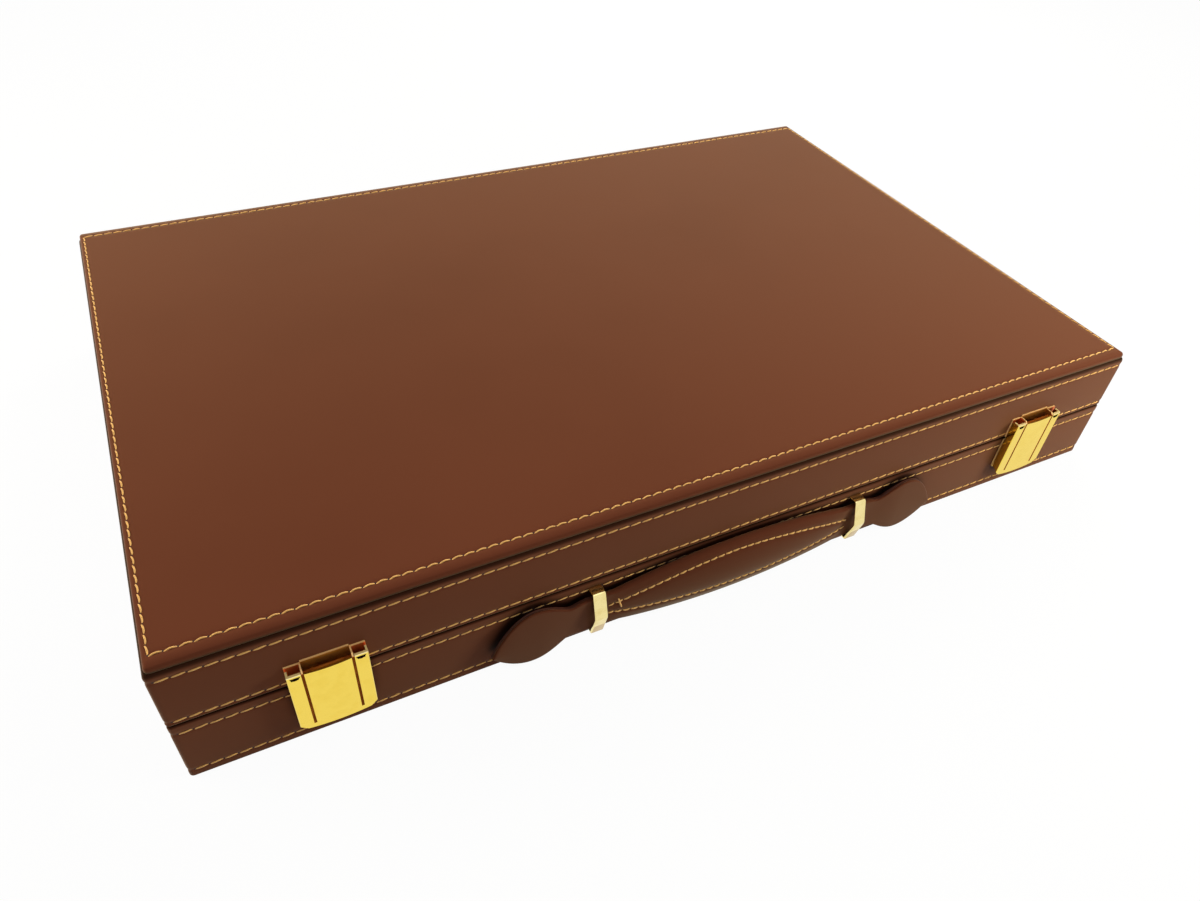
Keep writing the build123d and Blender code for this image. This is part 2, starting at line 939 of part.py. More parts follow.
def handle():
    for name, side in (("left", -1), ("right", 1)):
        save(handle_tab(side), f"{name}_handle_tab")
        save(tab_facing(side), f"{name}_tab_facing")
        ends = sorted((side * link_inner, side * tab_inner))
        save(strap_piece(*ends), f"{name}_strap_link")
        save(handle_loop(side * loop_centre), f"{name}_handle_loop")
    save(strap_piece(-link_inner, link_inner), "grip_strap")
    save(grip_pad(), "grip_pad")


def hinges():
    save(hinge_leaves(False), "hinge_lower_leaves")
    save(hinge_leaves(True), "hinge_upper_leaves")
    save(hinge_pins(), "hinge_pins")
    save(group(screw(), screw_spots(False)), "hinge_lower_screws")
    save(group(screw(), screw_spots(True)), "hinge_upper_screws")


def main():
    os.makedirs("parts", exist_ok=True)
    base_shell()
    lid_shell()
    base_interior()
    lid_interior()
    playing_pieces()
    hinges()
    latches()
    handle()


main()
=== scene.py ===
# Looks of a closed leather backgammon case: skins, stitching, handle, latches and the board inside.
import math

import bmesh
import bpy
from mathutils import Matrix, Vector


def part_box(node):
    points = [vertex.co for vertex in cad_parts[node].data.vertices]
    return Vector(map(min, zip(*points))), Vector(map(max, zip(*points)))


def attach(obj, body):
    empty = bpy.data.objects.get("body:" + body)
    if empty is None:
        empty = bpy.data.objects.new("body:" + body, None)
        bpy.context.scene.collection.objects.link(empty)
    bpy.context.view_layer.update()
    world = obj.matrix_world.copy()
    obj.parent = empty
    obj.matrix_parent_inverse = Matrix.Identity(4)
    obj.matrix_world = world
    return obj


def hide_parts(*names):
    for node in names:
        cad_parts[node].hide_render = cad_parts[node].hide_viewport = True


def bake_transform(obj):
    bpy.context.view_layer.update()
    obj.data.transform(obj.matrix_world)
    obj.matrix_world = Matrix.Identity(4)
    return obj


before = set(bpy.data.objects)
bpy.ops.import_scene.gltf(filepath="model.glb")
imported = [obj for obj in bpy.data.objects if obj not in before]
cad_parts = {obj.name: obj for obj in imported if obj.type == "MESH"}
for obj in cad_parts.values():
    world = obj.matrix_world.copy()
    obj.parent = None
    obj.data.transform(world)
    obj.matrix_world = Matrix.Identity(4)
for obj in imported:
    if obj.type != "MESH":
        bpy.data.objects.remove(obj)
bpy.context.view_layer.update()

mm = 0.001
scene = bpy.context.scene


def mmBox(node):  # a node's corners in millimetres
    low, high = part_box(node)
    return low / mm, high / mm


baseLow, baseHigh = mmBox("base_wall_leather")
lidLow, lidHigh = mmBox("lid_wall_leather")
panelLow, panelHigh = mmBox("lid_top_leather")
leverLow, leverHigh = mmBox("right_latch_lever")
halfLength = baseHigh.x
halfDepth = -baseLow.y
frontY = baseLow.y
seamHeight = (baseHigh.z + lidLow.z) / 2  # where the two halves meet


# Camera, lights and floor

photoView = {
    "place": (-0.1921, -0.3661, 0.3297),
    "azimuth": 29.77,
    "elevation": -42.19,
    "roll": -4.81,
    "lens": 26.78,
    "shift": (-0.0035, 0.0003),
}

studio = {
    "worldLight": 0.23,
    "floorSize": 9.0,
    "floorDrop": 0.2,  # in mm, so that floor and underside don't flicker
    "floorColour": (232, 231, 229),
    "floorGlow": 0.96,  # share of plain white that the camera sees on the floor
    # name, place, aimed at, size in metres, watts, colour, whether metal mirrors it
    "lamps": [
        ("backRightSoftbox", (0.62, 0.62, 0.72), (0.08, 0.08, 0.05), (0.7, 0.6), 9.2, (1, 0.95, 0.84), False),
        ("topSoftbox", (-0.2, -0.15, 1.9), (0.0, -0.1, 0.0), (2.4, 2.0), 10.4, (1.0, 1.0, 1.0), True),
        ("leftSoftbox", (-0.78, 0.28, 0.3), (-0.24, 0.05, 0.04), (0.5, 0.4), 5.3, (1.0, 0.92, 0.74), False),
        ("rightFill", (0.46, -0.4, 0.28), (0.23, -0.15, 0.05), (0.2, 0.2), 2.1, (1.0, 0.98, 0.84), False),
    ],
}


def srgb(red, green, blue):  # a colour picked on screen, as the linear values that nodes want
    parts = []
    for value in (red, green, blue):
        v = value / 255
        parts.append(v / 12.92 if v <= 0.04045 else ((v + 0.055) / 1.055) ** 2.4)
    return (*parts, 1.0)


def put(tree, kind, inputs=None, **props):  # one node, with its settings and what feeds it
    made = tree.nodes.new(kind)
    for key, value in props.items():
        setattr(made, key, value)
    for key, value in (inputs or {}).items():
        if isinstance(value, bpy.types.NodeSocket):
            tree.links.new(value, made.inputs[key])
        else:
            made.inputs[key].default_value = value
    return made


def sums(tree, operation, first, second=0.0, third=0.5, clamp=False):  # one step of arithmetic
    given = {0: first, 1: second, 2: third}
    return put(tree, "ShaderNodeMath", given, operation=operation, use_clamp=clamp).outputs[0]


def addCamera():
    azimuth, elevation, roll = (math.radians(photoView[k]) for k in ("azimuth", "elevation", "roll"))
    level = math.cos(elevation)
    forward = Vector((math.sin(azimuth) * level, math.cos(azimuth) * level, math.sin(elevation)))
    right = forward.cross(Vector((0, 0, 1))).normalized()
    down = forward.cross(right)
    across = right * math.cos(roll) + down * math.sin(roll)
    below = down * math.cos(roll) - right * math.sin(roll)
    data = bpy.data.cameras.new("photoCamera")
    data.lens = photoView["lens"]
    data.sensor_width = 36
    data.shift_x, data.shift_y = photoView["shift"]
    data.clip_start = 0.01
    camera = bpy.data.objects.new("photoCamera", data)
    turn = Matrix((across, -below, -forward)).transposed().to_4x4()
    camera.matrix_world = Matrix.Translation(photoView["place"]) @ turn
    scene.collection.objects.link(camera)
    scene.camera = camera


def addLamps():
    for name, place, target, size, watts, colour, mirrored in studio["lamps"]:
        data = bpy.data.lights.new(name, "AREA")
        data.shape = "RECTANGLE"
        data.size, data.size_y = size
        data.energy = watts
        data.color = colour
        lamp = bpy.data.objects.new(name, data)
        lamp.visible_glossy = mirrored
        aim = Vector(target) - Vector(place)
        lamp.matrix_world = Matrix.Translation(place) @ aim.to_track_quat("-Z", "Y").to_matrix().to_4x4()
        scene.collection.objects.link(lamp)


def seenDirectly(tree):  # 1 for what the camera, a mirror or glass sees, 0 for light on the object
    path = put(tree, "ShaderNodeLightPath").outputs
    both = sums(tree, "ADD", path["Is Camera Ray"], path["Is Glossy Ray"])
    return sums(tree, "ADD", both, path["Is Transmission Ray"], clamp=True)


def addWorld():
    world = bpy.data.worlds.new("paleRoom")
    scene.world = world
    world.use_nodes = True
    tree = world.node_tree
    tree.nodes.clear()
    light = put(tree, "ShaderNodeBackground", {"Color": (1, 1, 1, 1), "Strength": studio["worldLight"]})
    shown = put(tree, "ShaderNodeBackground", {"Color": (1, 1, 1, 1), "Strength": 1.0})
    mix = put(tree, "ShaderNodeMixShader", {0: seenDirectly(tree), 1: light.outputs[0], 2: shown.outputs[0]})
    put(tree, "ShaderNodeOutputWorld", {"Surface": mix.outputs[0]})


def addFloor():
    half = studio["floorSize"] / 2
    data = bpy.data.meshes.new("floor")
    corners = [(-half, -half, 0), (half, -half, 0), (half, half, 0), (-half, half, 0)]
    data.from_pydata(corners, [], [(0, 1, 2, 3)])
    data.transform(Matrix.Translation((0, 0, -studio["floorDrop"] * mm)))
    floor = bpy.data.objects.new("floor", data)
    material = bpy.data.materials.new("paleFloor")
    material.use_nodes = True
    tree = material.node_tree
    tree.nodes.clear()
    plain = put(tree, "ShaderNodeBsdfDiffuse", {"Color": srgb(*studio["floorColour"])})
    glow = put(tree, "ShaderNodeEmission", {"Color": (1, 1, 1, 1), "Strength": 1.0})
    share = sums(tree, "MULTIPLY", seenDirectly(tree), studio["floorGlow"])
    mix = put(tree, "ShaderNodeMixShader", {0: share, 1: plain.outputs[0], 2: glow.outputs[0]})
    put(tree, "ShaderNodeOutputMaterial", {"Surface": mix.outputs[0]})
    data.materials.append(material)
    scene.collection.objects.link(floor)


scene.view_settings.view_transform = "Standard"
addCamera()
addLamps()
addWorld()
addFloor()
print("camera, lamps and floor are set")


# Shared effects


def newTree(name, kind, inputs, outputs):  # an empty node group with its named sockets
    tree = bpy.data.node_groups.new(name, kind)
    for label, (socketKind, value) in inputs.items():
        socket = tree.interface.new_socket(name=label, in_out="INPUT", socket_type=f"NodeSocket{socketKind}")
        if value is not None:
            socket.default_value = value
    for label, socketKind in outputs.items():
        tree.interface.new_socket(name=label, in_out="OUTPUT", socket_type=f"NodeSocket{socketKind}")
    return tree, tree.nodes.new("NodeGroupInput").outputs, tree.nodes.new("NodeGroupOutput").inputs


def effect(name, inputs, outputs):  # a shader group of plain numbers
    numbers = {label: ("Float", value) for label, value in inputs.items()}
    return newTree(name, "ShaderNodeTree", numbers, dict.fromkeys(outputs, "Float"))


def objectPlace(tree):
    return put(tree, "ShaderNodeTexCoord").outputs["Object"]


def axesOf(tree, vector):
    return put(tree, "ShaderNodeSeparateXYZ", {0: vector}).outputs


def noise(tree, place, scale, detail, distortion=0.0):
    given = {"Vector": place, "Scale": scale, "Detail": detail, "Distortion": distortion}
    return put(tree, "ShaderNodeTexNoise", given).outputs[0]


def remap(tree, value, low, high, start=0.0, end=1.0, kind="LINEAR"):  # low to high becomes start to end
    given = {0: value, 1: low, 2: high, 3: start, 4: end}
    return put(tree, "ShaderNodeMapRange", given, interpolation_type=kind).outputs[0]


def mixTone(tree, share, first, second):  # one colour into another by a mask
    given = {"Factor": share, 6: first, 7: second}
    return put(tree, "ShaderNodeMix", given, data_type="RGBA").outputs[2]


def leatherGrain():  # fine pebbles and pores, soft dents, and slow changes of tone
    inputs = {"Scale": 1000.0, "Pebble": 0.6, "Pore": 0.25, "Dent": 0.5}
    tree, given, out = effect("leatherGrain", inputs, ("Height", "Tone", "Rub"))
    place = objectPlace(tree)
    cells = {"Vector": place, "Scale": given["Scale"], "Randomness": 1.0}
    pebbles = put(tree, "ShaderNodeTexVoronoi", cells, feature="SMOOTH_F1").outputs["Distance"]
    pores = noise(tree, place, sums(tree, "MULTIPLY", given["Scale"], 2.3), 2.0)
    dents = noise(tree, place, 45.0, 2.0)
    height = sums(tree, "MULTIPLY", pebbles, given["Pebble"])
    for part, share in ((pores, "Pore"), (dents, "Dent")):
        height = sums(tree, "ADD", height, sums(tree, "MULTIPLY", part, given[share]))
    tree.links.new(height, out["Height"])
    slow = remap(tree, noise(tree, place, 7.0, 3.0), 0.32, 0.68)
    tree.links.new(sums(tree, "MULTIPLY_ADD", slow, 0.8, 0.5), out["Tone"])
    tree.links.new(remap(tree, dents, 0.35, 0.7), out["Rub"])
    return tree


def rimLight():  # masks for painted highlights, glow and shade: which parts of bent sheet metal catch or lose the light
    inputs = {"Sheet Front": -0.1559, "Top": 0.046, "Band": 0.0006, "Centre": 0.18, "Pocket Start": 0.0094}
    tree, given, out = effect("rimLight", inputs, ("Edges", "Band", "Band Top", "Pocket", "Down"))
    coords = put(tree, "ShaderNodeTexCoord").outputs
    way = axesOf(tree, coords["Normal"])
    place = axesOf(tree, coords["Object"])
    fromCentre = sums(tree, "SUBTRACT", sums(tree, "ABSOLUTE", place[0]), given["Centre"])
    pocket = sums(tree, "GREATER_THAN", sums(tree, "ABSOLUTE", fromCentre), given["Pocket Start"])
    tree.links.new(pocket, out["Pocket"])
    up = sums(tree, "GREATER_THAN", way[2], 0.6)
    tree.links.new(sums(tree, "LESS_THAN", way[2], -0.25), out["Down"])
    sideways = sums(tree, "LESS_THAN", sums(tree, "ABSOLUTE", way[1]), 0.5)
    onWall = sums(tree, "MULTIPLY", sideways, sums(tree, "GREATER_THAN", place[1], given["Sheet Front"]))
    tree.links.new(sums(tree, "MAXIMUM", up, onWall), out["Edges"])
    below = sums(tree, "SUBTRACT", given["Top"], place[2])
    full = sums(tree, "MULTIPLY", given["Band"], 0.6)
    band = remap(tree, below, given["Band"], full, kind="SMOOTHSTEP")
    tree.links.new(band, out["Band"])
    tree.links.new(sums(tree, "MULTIPLY", band, up), out["Band Top"])
    return tree


def metalFinish():  # faint brushing along one way and small marks from handling
    inputs = {"Along X": 40.0, "Along Y": 900.0, "Along Z": 40.0}
    tree, given, out = effect("metalFinish", inputs, ("Height", "Marks"))
    place = objectPlace(tree)
    scale = put(tree, "ShaderNodeCombineXYZ", {k: given[k] for k in range(3)}).outputs[0]
    streaks = put(tree, "ShaderNodeVectorMath", {0: place, 1: scale}, operation="MULTIPLY").outputs[0]
    tree.links.new(noise(tree, streaks, 1.0, 3.0), out["Height"])
    tree.links.new(remap(tree, noise(tree, place, 260.0, 4.0), 0.45, 0.75), out["Marks"])
    return tree


def fibreFuzz():  # felt, thread and other matted fibres
    tree, given, out = effect("fibreFuzz", {"Scale": 1800.0, "Lump": 60.0}, ("Height", "Tone"))
    place = objectPlace(tree)
    fine = noise(tree, place, given["Scale"], 4.0, 0.6)
    tree.links.new(fine, out["Height"])
    lumps = sums(tree, "MULTIPLY_ADD", noise(tree, place, given["Lump"], 2.0), 0.5, 0.5)
    tree.links.new(sums(tree, "ADD", lumps, sums(tree, "MULTIPLY", fine, 0.5)), out["Tone"])
    return tree


def woodFigure():  # long fibres along X with slow rings
    tree, given, out = effect("woodFigure", {"Rings": 60.0, "Fibre": 900.0}, ("Height", "Tone"))
    place = {"Vector": objectPlace(tree), "Scale": (0.06, 1.0, 1.0)}
    stretch = put(tree, "ShaderNodeMapping", place).outputs[0]
    fibre = noise(tree, stretch, given["Fibre"], 3.0)
    rings = put(tree, "ShaderNodeTexWave",
                {"Vector": stretch, "Scale": given["Rings"], "Distortion": 5.0, "Detail": 2.0},
                bands_direction="Y").outputs["Fac"]
    tree.links.new(fibre, out["Height"])
    mixed = sums(tree, "ADD", sums(tree, "MULTIPLY", rings, 0.6), sums(tree, "MULTIPLY", fibre, 0.4))
    tree.links.new(mixed, out["Tone"])
    return tree


def outerSide(tree, axes, given):  # 1 on the outer side of the walls, 0 further in
    beside = [sums(tree, "SUBTRACT", sums(tree, "ABSOLUTE", axes[k]), given[half])
              for k, half in enumerate(("Half Length", "Half Depth"))]
    return remap(tree, sums(tree, "MAXIMUM", *beside), -3.0 * mm, -1.2 * mm)


def seamShade():  # painted shade in grooves: 1 in the groove of a seam at one height, on the outer side of the walls alone
    inputs = {"Height": 0.0348, "Width": 0.0012, "Half Length": 0.24, "Half Depth": 0.155}
    tree, given, out = effect("seamShade", inputs, ("Mask",))
    axes = axesOf(tree, objectPlace(tree))
    away = sums(tree, "ABSOLUTE", sums(tree, "SUBTRACT", axes[2], given["Height"]))
    near = remap(tree, sums(tree, "DIVIDE", away, given["Width"]), 1.0, 0.15, kind="SMOOTHSTEP")
    tree.links.new(sums(tree, "MULTIPLY", near, outerSide(tree, axes, given)), out["Mask"])
    return tree


def nookShade():  # painted shade: 1 where a piece stands close in front of the lower walls, above the floor's own shade
    inputs = {"Reach": 0.015, "Open": 0.82, "Shut": 0.36, "Low": 0.013, "High": 0.0348, "Half Length": 0.24,
              "Half Depth": 0.155}
    tree, given, out = effect("nookShade", inputs, ("Mask",))
    axes = axesOf(tree, objectPlace(tree))
    seen = put(tree, "ShaderNodeAmbientOcclusion", {"Distance": given["Reach"]}, samples=12).outputs["AO"]
    shut = remap(tree, seen, given["Open"], given["Shut"])
    start = sums(tree, "MULTIPLY", given["Low"], 0.5)
    above = remap(tree, axes[2], start, given["Low"], kind="SMOOTHSTEP")
    within = sums(tree, "MULTIPLY", above, sums(tree, "LESS_THAN", axes[2], given["High"]))
    within = sums(tree, "MULTIPLY", within, outerSide(tree, axes, given))
    tree.links.new(sums(tree, "MULTIPLY", shut, within), out["Mask"])
    return tree


grainEffect = leatherGrain()
seamEffect = seamShade()
nookEffect = nookShade()
metalEffect = metalFinish()
rimEffect = rimLight()
fuzzEffect = fibreFuzz()
woodEffect = woodFigure()


# Materials


def newMaterial(name, **sockets):  # a Principled material whose plain values sit on its own sockets
    material = bpy.data.materials.new(name)
    material.use_nodes = True
    tree = material.node_tree
    shader = tree.nodes["Principled BSDF"]
    for key, value in sockets.items():
        shader.inputs[key.replace("_", " ")].default_value = value
    return material, tree, shader


def useEffect(tree, group, **values):
    made = put(tree, "ShaderNodeGroup", node_tree=group)
    for key, value in values.items():
        made.inputs[key.replace("_", " ")].default_value = value
    return made.outputs


def tint(tree, shader, share, dark, light):  # base colour between two tones by a mask
    colour = mixTone(tree, share, srgb(*dark), srgb(*light))
    tree.links.new(colour, shader.inputs["Base Color"])
    return colour


def dull(tree, shader, share, low, high):  # roughness between two values
    tree.links.new(remap(tree, share, 0.0, 1.0, low, high), shader.inputs["Roughness"])


def bumpy(tree, shader, height, depth, strength=1.0):  # depth in millimetres
    bump = put(tree, "ShaderNodeBump", {"Height": height, "Distance": depth * mm, "Strength": strength})
    tree.links.new(bump.outputs[0], shader.inputs["Normal"])


wallSizes = {"Half_Length": halfLength * mm, "Half_Depth": halfDepth * mm}

leathers = {
    "caseLeather": {"dark": (92, 46, 30), "light": (99, 51, 34), "rough": (0.38, 0.41), "scale": 1500.0,
                    # height and half width of each groove, and the tone of the painted shade in it
                    "seams": ((panelLow.z - 0.2, 2.2), (seamHeight, 1.6)),
                    "seam": (30, 13, 8), "seamShadeDepth": 0.85},
    "strapLeather": {"dark": (82, 41, 27), "light": (90, 46, 30), "rough": (0.38, 0.42), "scale": 1700.0},
    "railLeather": {"dark": (70, 36, 26), "light": (82, 43, 31), "rough": (0.45, 0.52), "scale": 1500.0},
    "cupLeather": {"dark": (60, 30, 21), "light": (74, 38, 27), "rough": (0.42, 0.50), "scale": 1300.0},
}
# the lower walls, with painted shade and without haze behind the handle and the latches
leathers["baseLeather"] = {**leathers["caseLeather"], "nook": (20, 6, 3), "nookShadeDepth": 0.92}


def leatherMaterial(name):
    look = leathers[name]
    material, tree, shader = newMaterial(
        name, Specular_IOR_Level=0.02, Specular_Tint=srgb(255, 214, 170), Sheen_Weight=0.2,
        Sheen_Roughness=0.46, Sheen_Tint=srgb(244, 230, 172))
    grain = useEffect(tree, grainEffect, Scale=look["scale"], Pebble=0.5, Pore=0.3, Dent=0.1)
    colour = tint(tree, shader, grain["Tone"], look["dark"], look["light"])
    # painted shade in the grooves under the top panel and where the two halves meet
    for height, width in look.get("seams", ()):
        seam = useEffect(tree, seamEffect, Height=height * mm, Width=width * mm, **wallSizes)
        shade = sums(tree, "MULTIPLY", seam["Mask"], look["seamShadeDepth"])
        colour = mixTone(tree, shade, colour, srgb(*look["seam"]))
    # painted shade where a piece stands close in front of the lower walls, with the sheen faded out there
    if "nook" in look:
        nook = useEffect(tree, nookEffect, High=seamHeight * mm, **wallSizes)["Mask"]
        sheen = shader.inputs["Sheen Weight"]
        tree.links.new(remap(tree, nook, 0.0, 1.0, sheen.default_value, 0.0), sheen)
        shade = sums(tree, "MULTIPLY", nook, look["nookShadeDepth"])
        colour = mixTone(tree, shade, colour, srgb(*look["nook"]))
    tree.links.new(colour, shader.inputs["Base Color"])
    dull(tree, shader, grain["Rub"], *look["rough"])
    bumpy(tree, shader, grain["Height"], 0.035, 0.4)
    return material


threadLook = {"dark": (196, 134, 62), "light": (238, 184, 104), "rough": (0.5, 0.7), "scale": 2600.0,
              "lump": 150.0, "nook": (58, 34, 20), "open": 0.62, "shut": 0.3, "strand": 0.75,
              "strandWay": (1.0, 0.8, 1.3), "depth": 0.06, "strength": 0.8}


def threadMaterial(name):  # twisted tan thread, with painted shade where a piece stands in front of it
    look = threadLook
    material, tree, shader = newMaterial(name, Sheen_Weight=0.25, Sheen_Roughness=0.4)
    fuzz = useEffect(tree, fuzzEffect, Scale=look["scale"], Lump=look["lump"])
    colour = tint(tree, shader, fuzz["Tone"], look["dark"], look["light"])
    nook = useEffect(tree, nookEffect, Open=look["open"], Shut=look["shut"], High=seamHeight * mm,
                     **wallSizes)
    # painted shade on the thread where a piece stands close in front
    colour = mixTone(tree, nook["Mask"], colour, srgb(*look["nook"]))
    tree.links.new(colour, shader.inputs["Base Color"])
    dull(tree, shader, fuzz["Tone"], *look["rough"])
    across = put(tree, "ShaderNodeVectorMath", {0: objectPlace(tree), 1: look["strandWay"]},
                 operation="DOT_PRODUCT").outputs["Value"]
    turns = sums(tree, "MULTIPLY", across, 2 * math.pi / (look["strand"] * mm))
    bumpy(tree, shader, sums(tree, "SINE", turns), look["depth"], look["strength"])
    return material


metals = {
    # colours, roughness low and high, brushing scale along X, Y and Z, bump depth in mm
    "latchGold": ((240, 207, 80), (243, 212, 88), 0.14, 0.17, (40.0, 40.0, 40.0), 0.0004),
    "catchGold": ((236, 200, 80), (242, 210, 90), 0.18, 0.24, (60.0, 60.0, 60.0), 0.001),
    # latchShade: a darker, redder copy of the gold as painted shade, for the brackets that sit in shadow
    # behind the levers
    "latchShade": ((168, 108, 40), (206, 138, 62), 0.42, 0.55, (300.0, 300.0, 300.0), 0.003),
    "loopGold": ((230, 208, 136), (240, 222, 156), 0.16, 0.24, (1500.0, 60.0, 30.0), 0.004),
    "hingeBrass": ((196, 160, 84), (216, 182, 106), 0.24, 0.38, (50.0, 1200.0, 50.0), 0.015),
    "rivetBrass": ((206, 168, 84), (224, 190, 108), 0.20, 0.34, (300.0, 300.0, 300.0), 0.010),
    "pinSteel": ((168, 168, 170), (190, 190, 192), 0.22, 0.36, (50.0, 1200.0, 1200.0), 0.010),
}

# painted light on each metal: lighter tones as painted highlights in Band, Band Top and Edges, an orange
# painted glow of light thrown about the pockets in Pocket, a darker painted shade on the Down faces; and the
# mask in which it is less metallic
paintedLight = {
    "latchGold": {"tones": {"Band": (255, 236, 176), "Band Top": (255, 230, 156)},
                  "less": ("Band Top", 0.75)},
    "catchGold": {"tones": {"Edges": (255, 206, 134)}, "less": ("Edges", 0.75)},
    "latchShade": {"tones": {"Pocket": (246, 134, 66), "Edges": (255, 206, 134)},
                   "less": ("Edges", 0.75)},
    "loopGold": {"tones": {"Down": (196, 166, 104)}},
}
# side faces this near to the wall count as edges for the painted highlight, and the height of the painted
# bright band, in mm
rims = {"edgesOut": 0.82, "band": 0.6}


def metalMaterial(name):
    dark, light, low, high, scales, depth = metals[name]
    material, tree, shader = newMaterial(name, Metallic=1.0)
    finish = useEffect(tree, metalEffect, Along_X=scales[0], Along_Y=scales[1], Along_Z=scales[2])
    colour = tint(tree, shader, finish["Marks"], light, dark)
    if name in paintedLight:
        latchCentre = (leverLow.x + leverHigh.x) / 2
        rim = useEffect(tree, rimEffect, Sheet_Front=(frontY - rims["edgesOut"]) * mm, Top=leverHigh.z * mm,
                        Band=rims["band"] * mm, Centre=latchCentre * mm)
        # painted highlights, painted glow and painted shade, each in its mask
        for mask, tone in paintedLight[name]["tones"].items():
            colour = mixTone(tree, rim[mask], colour, srgb(*tone))
        tree.links.new(colour, shader.inputs["Base Color"])
        if "less" in paintedLight[name]:
            mask, share = paintedLight[name]["less"]
            left = sums(tree, "SUBTRACT", 1.0, sums(tree, "MULTIPLY", rim[mask], share))
            tree.links.new(left, shader.inputs["Metallic"])
    dull(tree, shader, finish["Marks"], low, high)
    bumpy(tree, shader, finish["Height"], depth, 0.4)
    return material


# effect and its values, masks for tone and gloss, own sockets, roughness, bump depth in mm and strength
finishes = {
    "edge": (grainEffect, {"Scale": 2200.0, "Pebble": 0.8, "Pore": 0.4, "Dent": 0.6}, ("Tone", "Rub"),
             {"Specular_IOR_Level": 0.2}, (0.55, 0.7), (0.06, 0.6)),
    "hole": (fuzzEffect, {"Scale": 1500.0, "Lump": 300.0}, ("Tone", "Tone"), {}, (0.6, 0.8), (0.04, 0.5)),
    "felt": (fuzzEffect, {"Scale": 2200.0, "Lump": 70.0}, ("Tone", "Tone"),
             {"Sheen_Weight": 0.2, "Sheen_Roughness": 0.5}, (0.85, 0.95), (0.15, 0.7)),
    "wood": (woodEffect, {"Rings": 55.0, "Fibre": 900.0}, ("Tone", "Tone"), {}, (0.5, 0.65), (0.08, 0.5)),
    "recess": (metalEffect, {"Along_X": 300.0, "Along_Y": 300.0, "Along_Z": 300.0}, ("Marks", "Marks"),
               {"Specular_IOR_Level": 0.0}, (0.5, 0.65), (0.01, 0.4)),
}

# finish, and its two tones
plains = {
    "edgePaint": ("edge", (56, 29, 20), (70, 37, 26)),
    # needleHole: painted shade, the dark of each needle hole laid on a flat disc
    "needleHole": ("hole", (20, 9, 6), (34, 16, 11)),
    "boardWood": ("wood", (150, 112, 72), (196, 160, 114)),
    "fieldFelt": ("felt", (24, 74, 52), (38, 98, 70)),
    "trayFelt": ("felt", (20, 62, 44), (32, 84, 60)),
    "lightInlay": ("felt", (206, 178, 132), (226, 202, 160)),
    "darkInlay": ("felt", (96, 32, 24), (122, 44, 32)),
    # slits and notches: painted shade, a dark amber for the slits' shaded insides and near black for the
    # notch
    "slitAmber": ("recess", (132, 66, 22), (168, 98, 34)),
    "notchDark": ("recess", (22, 12, 6), (38, 22, 10)),
}


def plainMaterial(name):
    finish, dark, light = plains[name]
    group, values, (tone, gloss), sockets, rough, bump = finishes[finish]
    material, tree, shader = newMaterial(name, **sockets)
    masks = useEffect(tree, group, **values)
    tint(tree, shader, masks[tone], dark, light)
    dull(tree, shader, masks[gloss], *rough)
    bumpy(tree, shader, masks["Height"], *bump)
    return material


resins = {
    "lightChecker": ((226, 212, 182), (240, 230, 206), 0.22),
    "darkChecker": ((58, 22, 14), (84, 34, 22), 0.20),
    "ivoryDice": ((236, 228, 208), (246, 240, 226), 0.16),
    "pipBlack": ((20, 18, 18), (34, 32, 32), 0.35),
}


def resinMaterial(name):  # cast pieces with a soft marbling
    dark, light, rough = resins[name]
    material, tree, shader = newMaterial(name, Coat_Weight=0.15, Coat_Roughness=0.12)
    swirl = noise(tree, objectPlace(tree), 70.0, 4.0, 1.6)
    tint(tree, shader, swirl, dark, light)
    dull(tree, shader, swirl, rough, rough + 0.1)
    bumpy(tree, shader, swirl, 0.02, 0.3)
    return material


makers = {leatherMaterial: leathers, metalMaterial: metals, plainMaterial: plains, resinMaterial: resins,
          threadMaterial: ["tanThread"]}
paint = {name: maker(name) for maker, looks in makers.items() for name in looks}

halves = ("base", "lid")
sides = ("left", "right")
nodePaint = {
    "caseLeather": ["base_bottom_leather"],
    "railLeather": ["base_tray_rail", "lid_tray_rail", "base_tray_dividers", "lid_tray_divider"],
    "cupLeather": [f"{side}_dice_cup" for side in sides],
    "boardWood": ["base_floor_board", "lid_top_board"]
    + [f"{half}_{piece}_board" for half in halves for piece in ("front", "rear", "left", "right")],
    "fieldFelt": [f"{half}_field" for half in halves],
    "trayFelt": [f"{half}_tray_lining" for half in halves],
    "lightInlay": [f"{half}_light_points" for half in halves],
    "darkInlay": [f"{half}_dark_points" for half in halves],
    "latchGold": [f"{side}_latch_lever" for side in sides],
    "catchGold": [f"{side}_latch_catch" for side in sides],
    "latchShade": [f"{side}_latch_bracket" for side in sides],
    # the pins share the slits' painted shade, as they sit in shadow behind the tongue
    "slitAmber": [f"{side}_latch_pin" for side in sides],
    "hingeBrass": ["hinge_lower_leaves", "hinge_upper_leaves"],
    "pinSteel": ["hinge_pins", "hinge_lower_screws", "hinge_upper_screws"],
    "rivetBrass": ["catch_rivets", "bracket_rivets"],
    "ivoryDice": ["dice", "doubling_cube"],
}


def paintNode(node, material):
    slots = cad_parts[node].data.materials
    for index in range(len(slots)):
        slots[index] = paint[material]
    if not len(slots):
        slots.append(paint[material])


for material, nodes in nodePaint.items():
    for node in nodes:
        paintNode(node, material)
print("materials are made")


# Meshes


def meshObject(name, vertices, faces, material, smooth=40):  # points in millimetres
    data = bpy.data.meshes.new(name)
    data.from_pydata([Vector(v) * mm for v in vertices], [], faces)
    data.materials.append(paint[material])
    made = bpy.data.objects.new(name, data)
    scene.collection.objects.link(made)
    return tidyMesh(made, smooth)


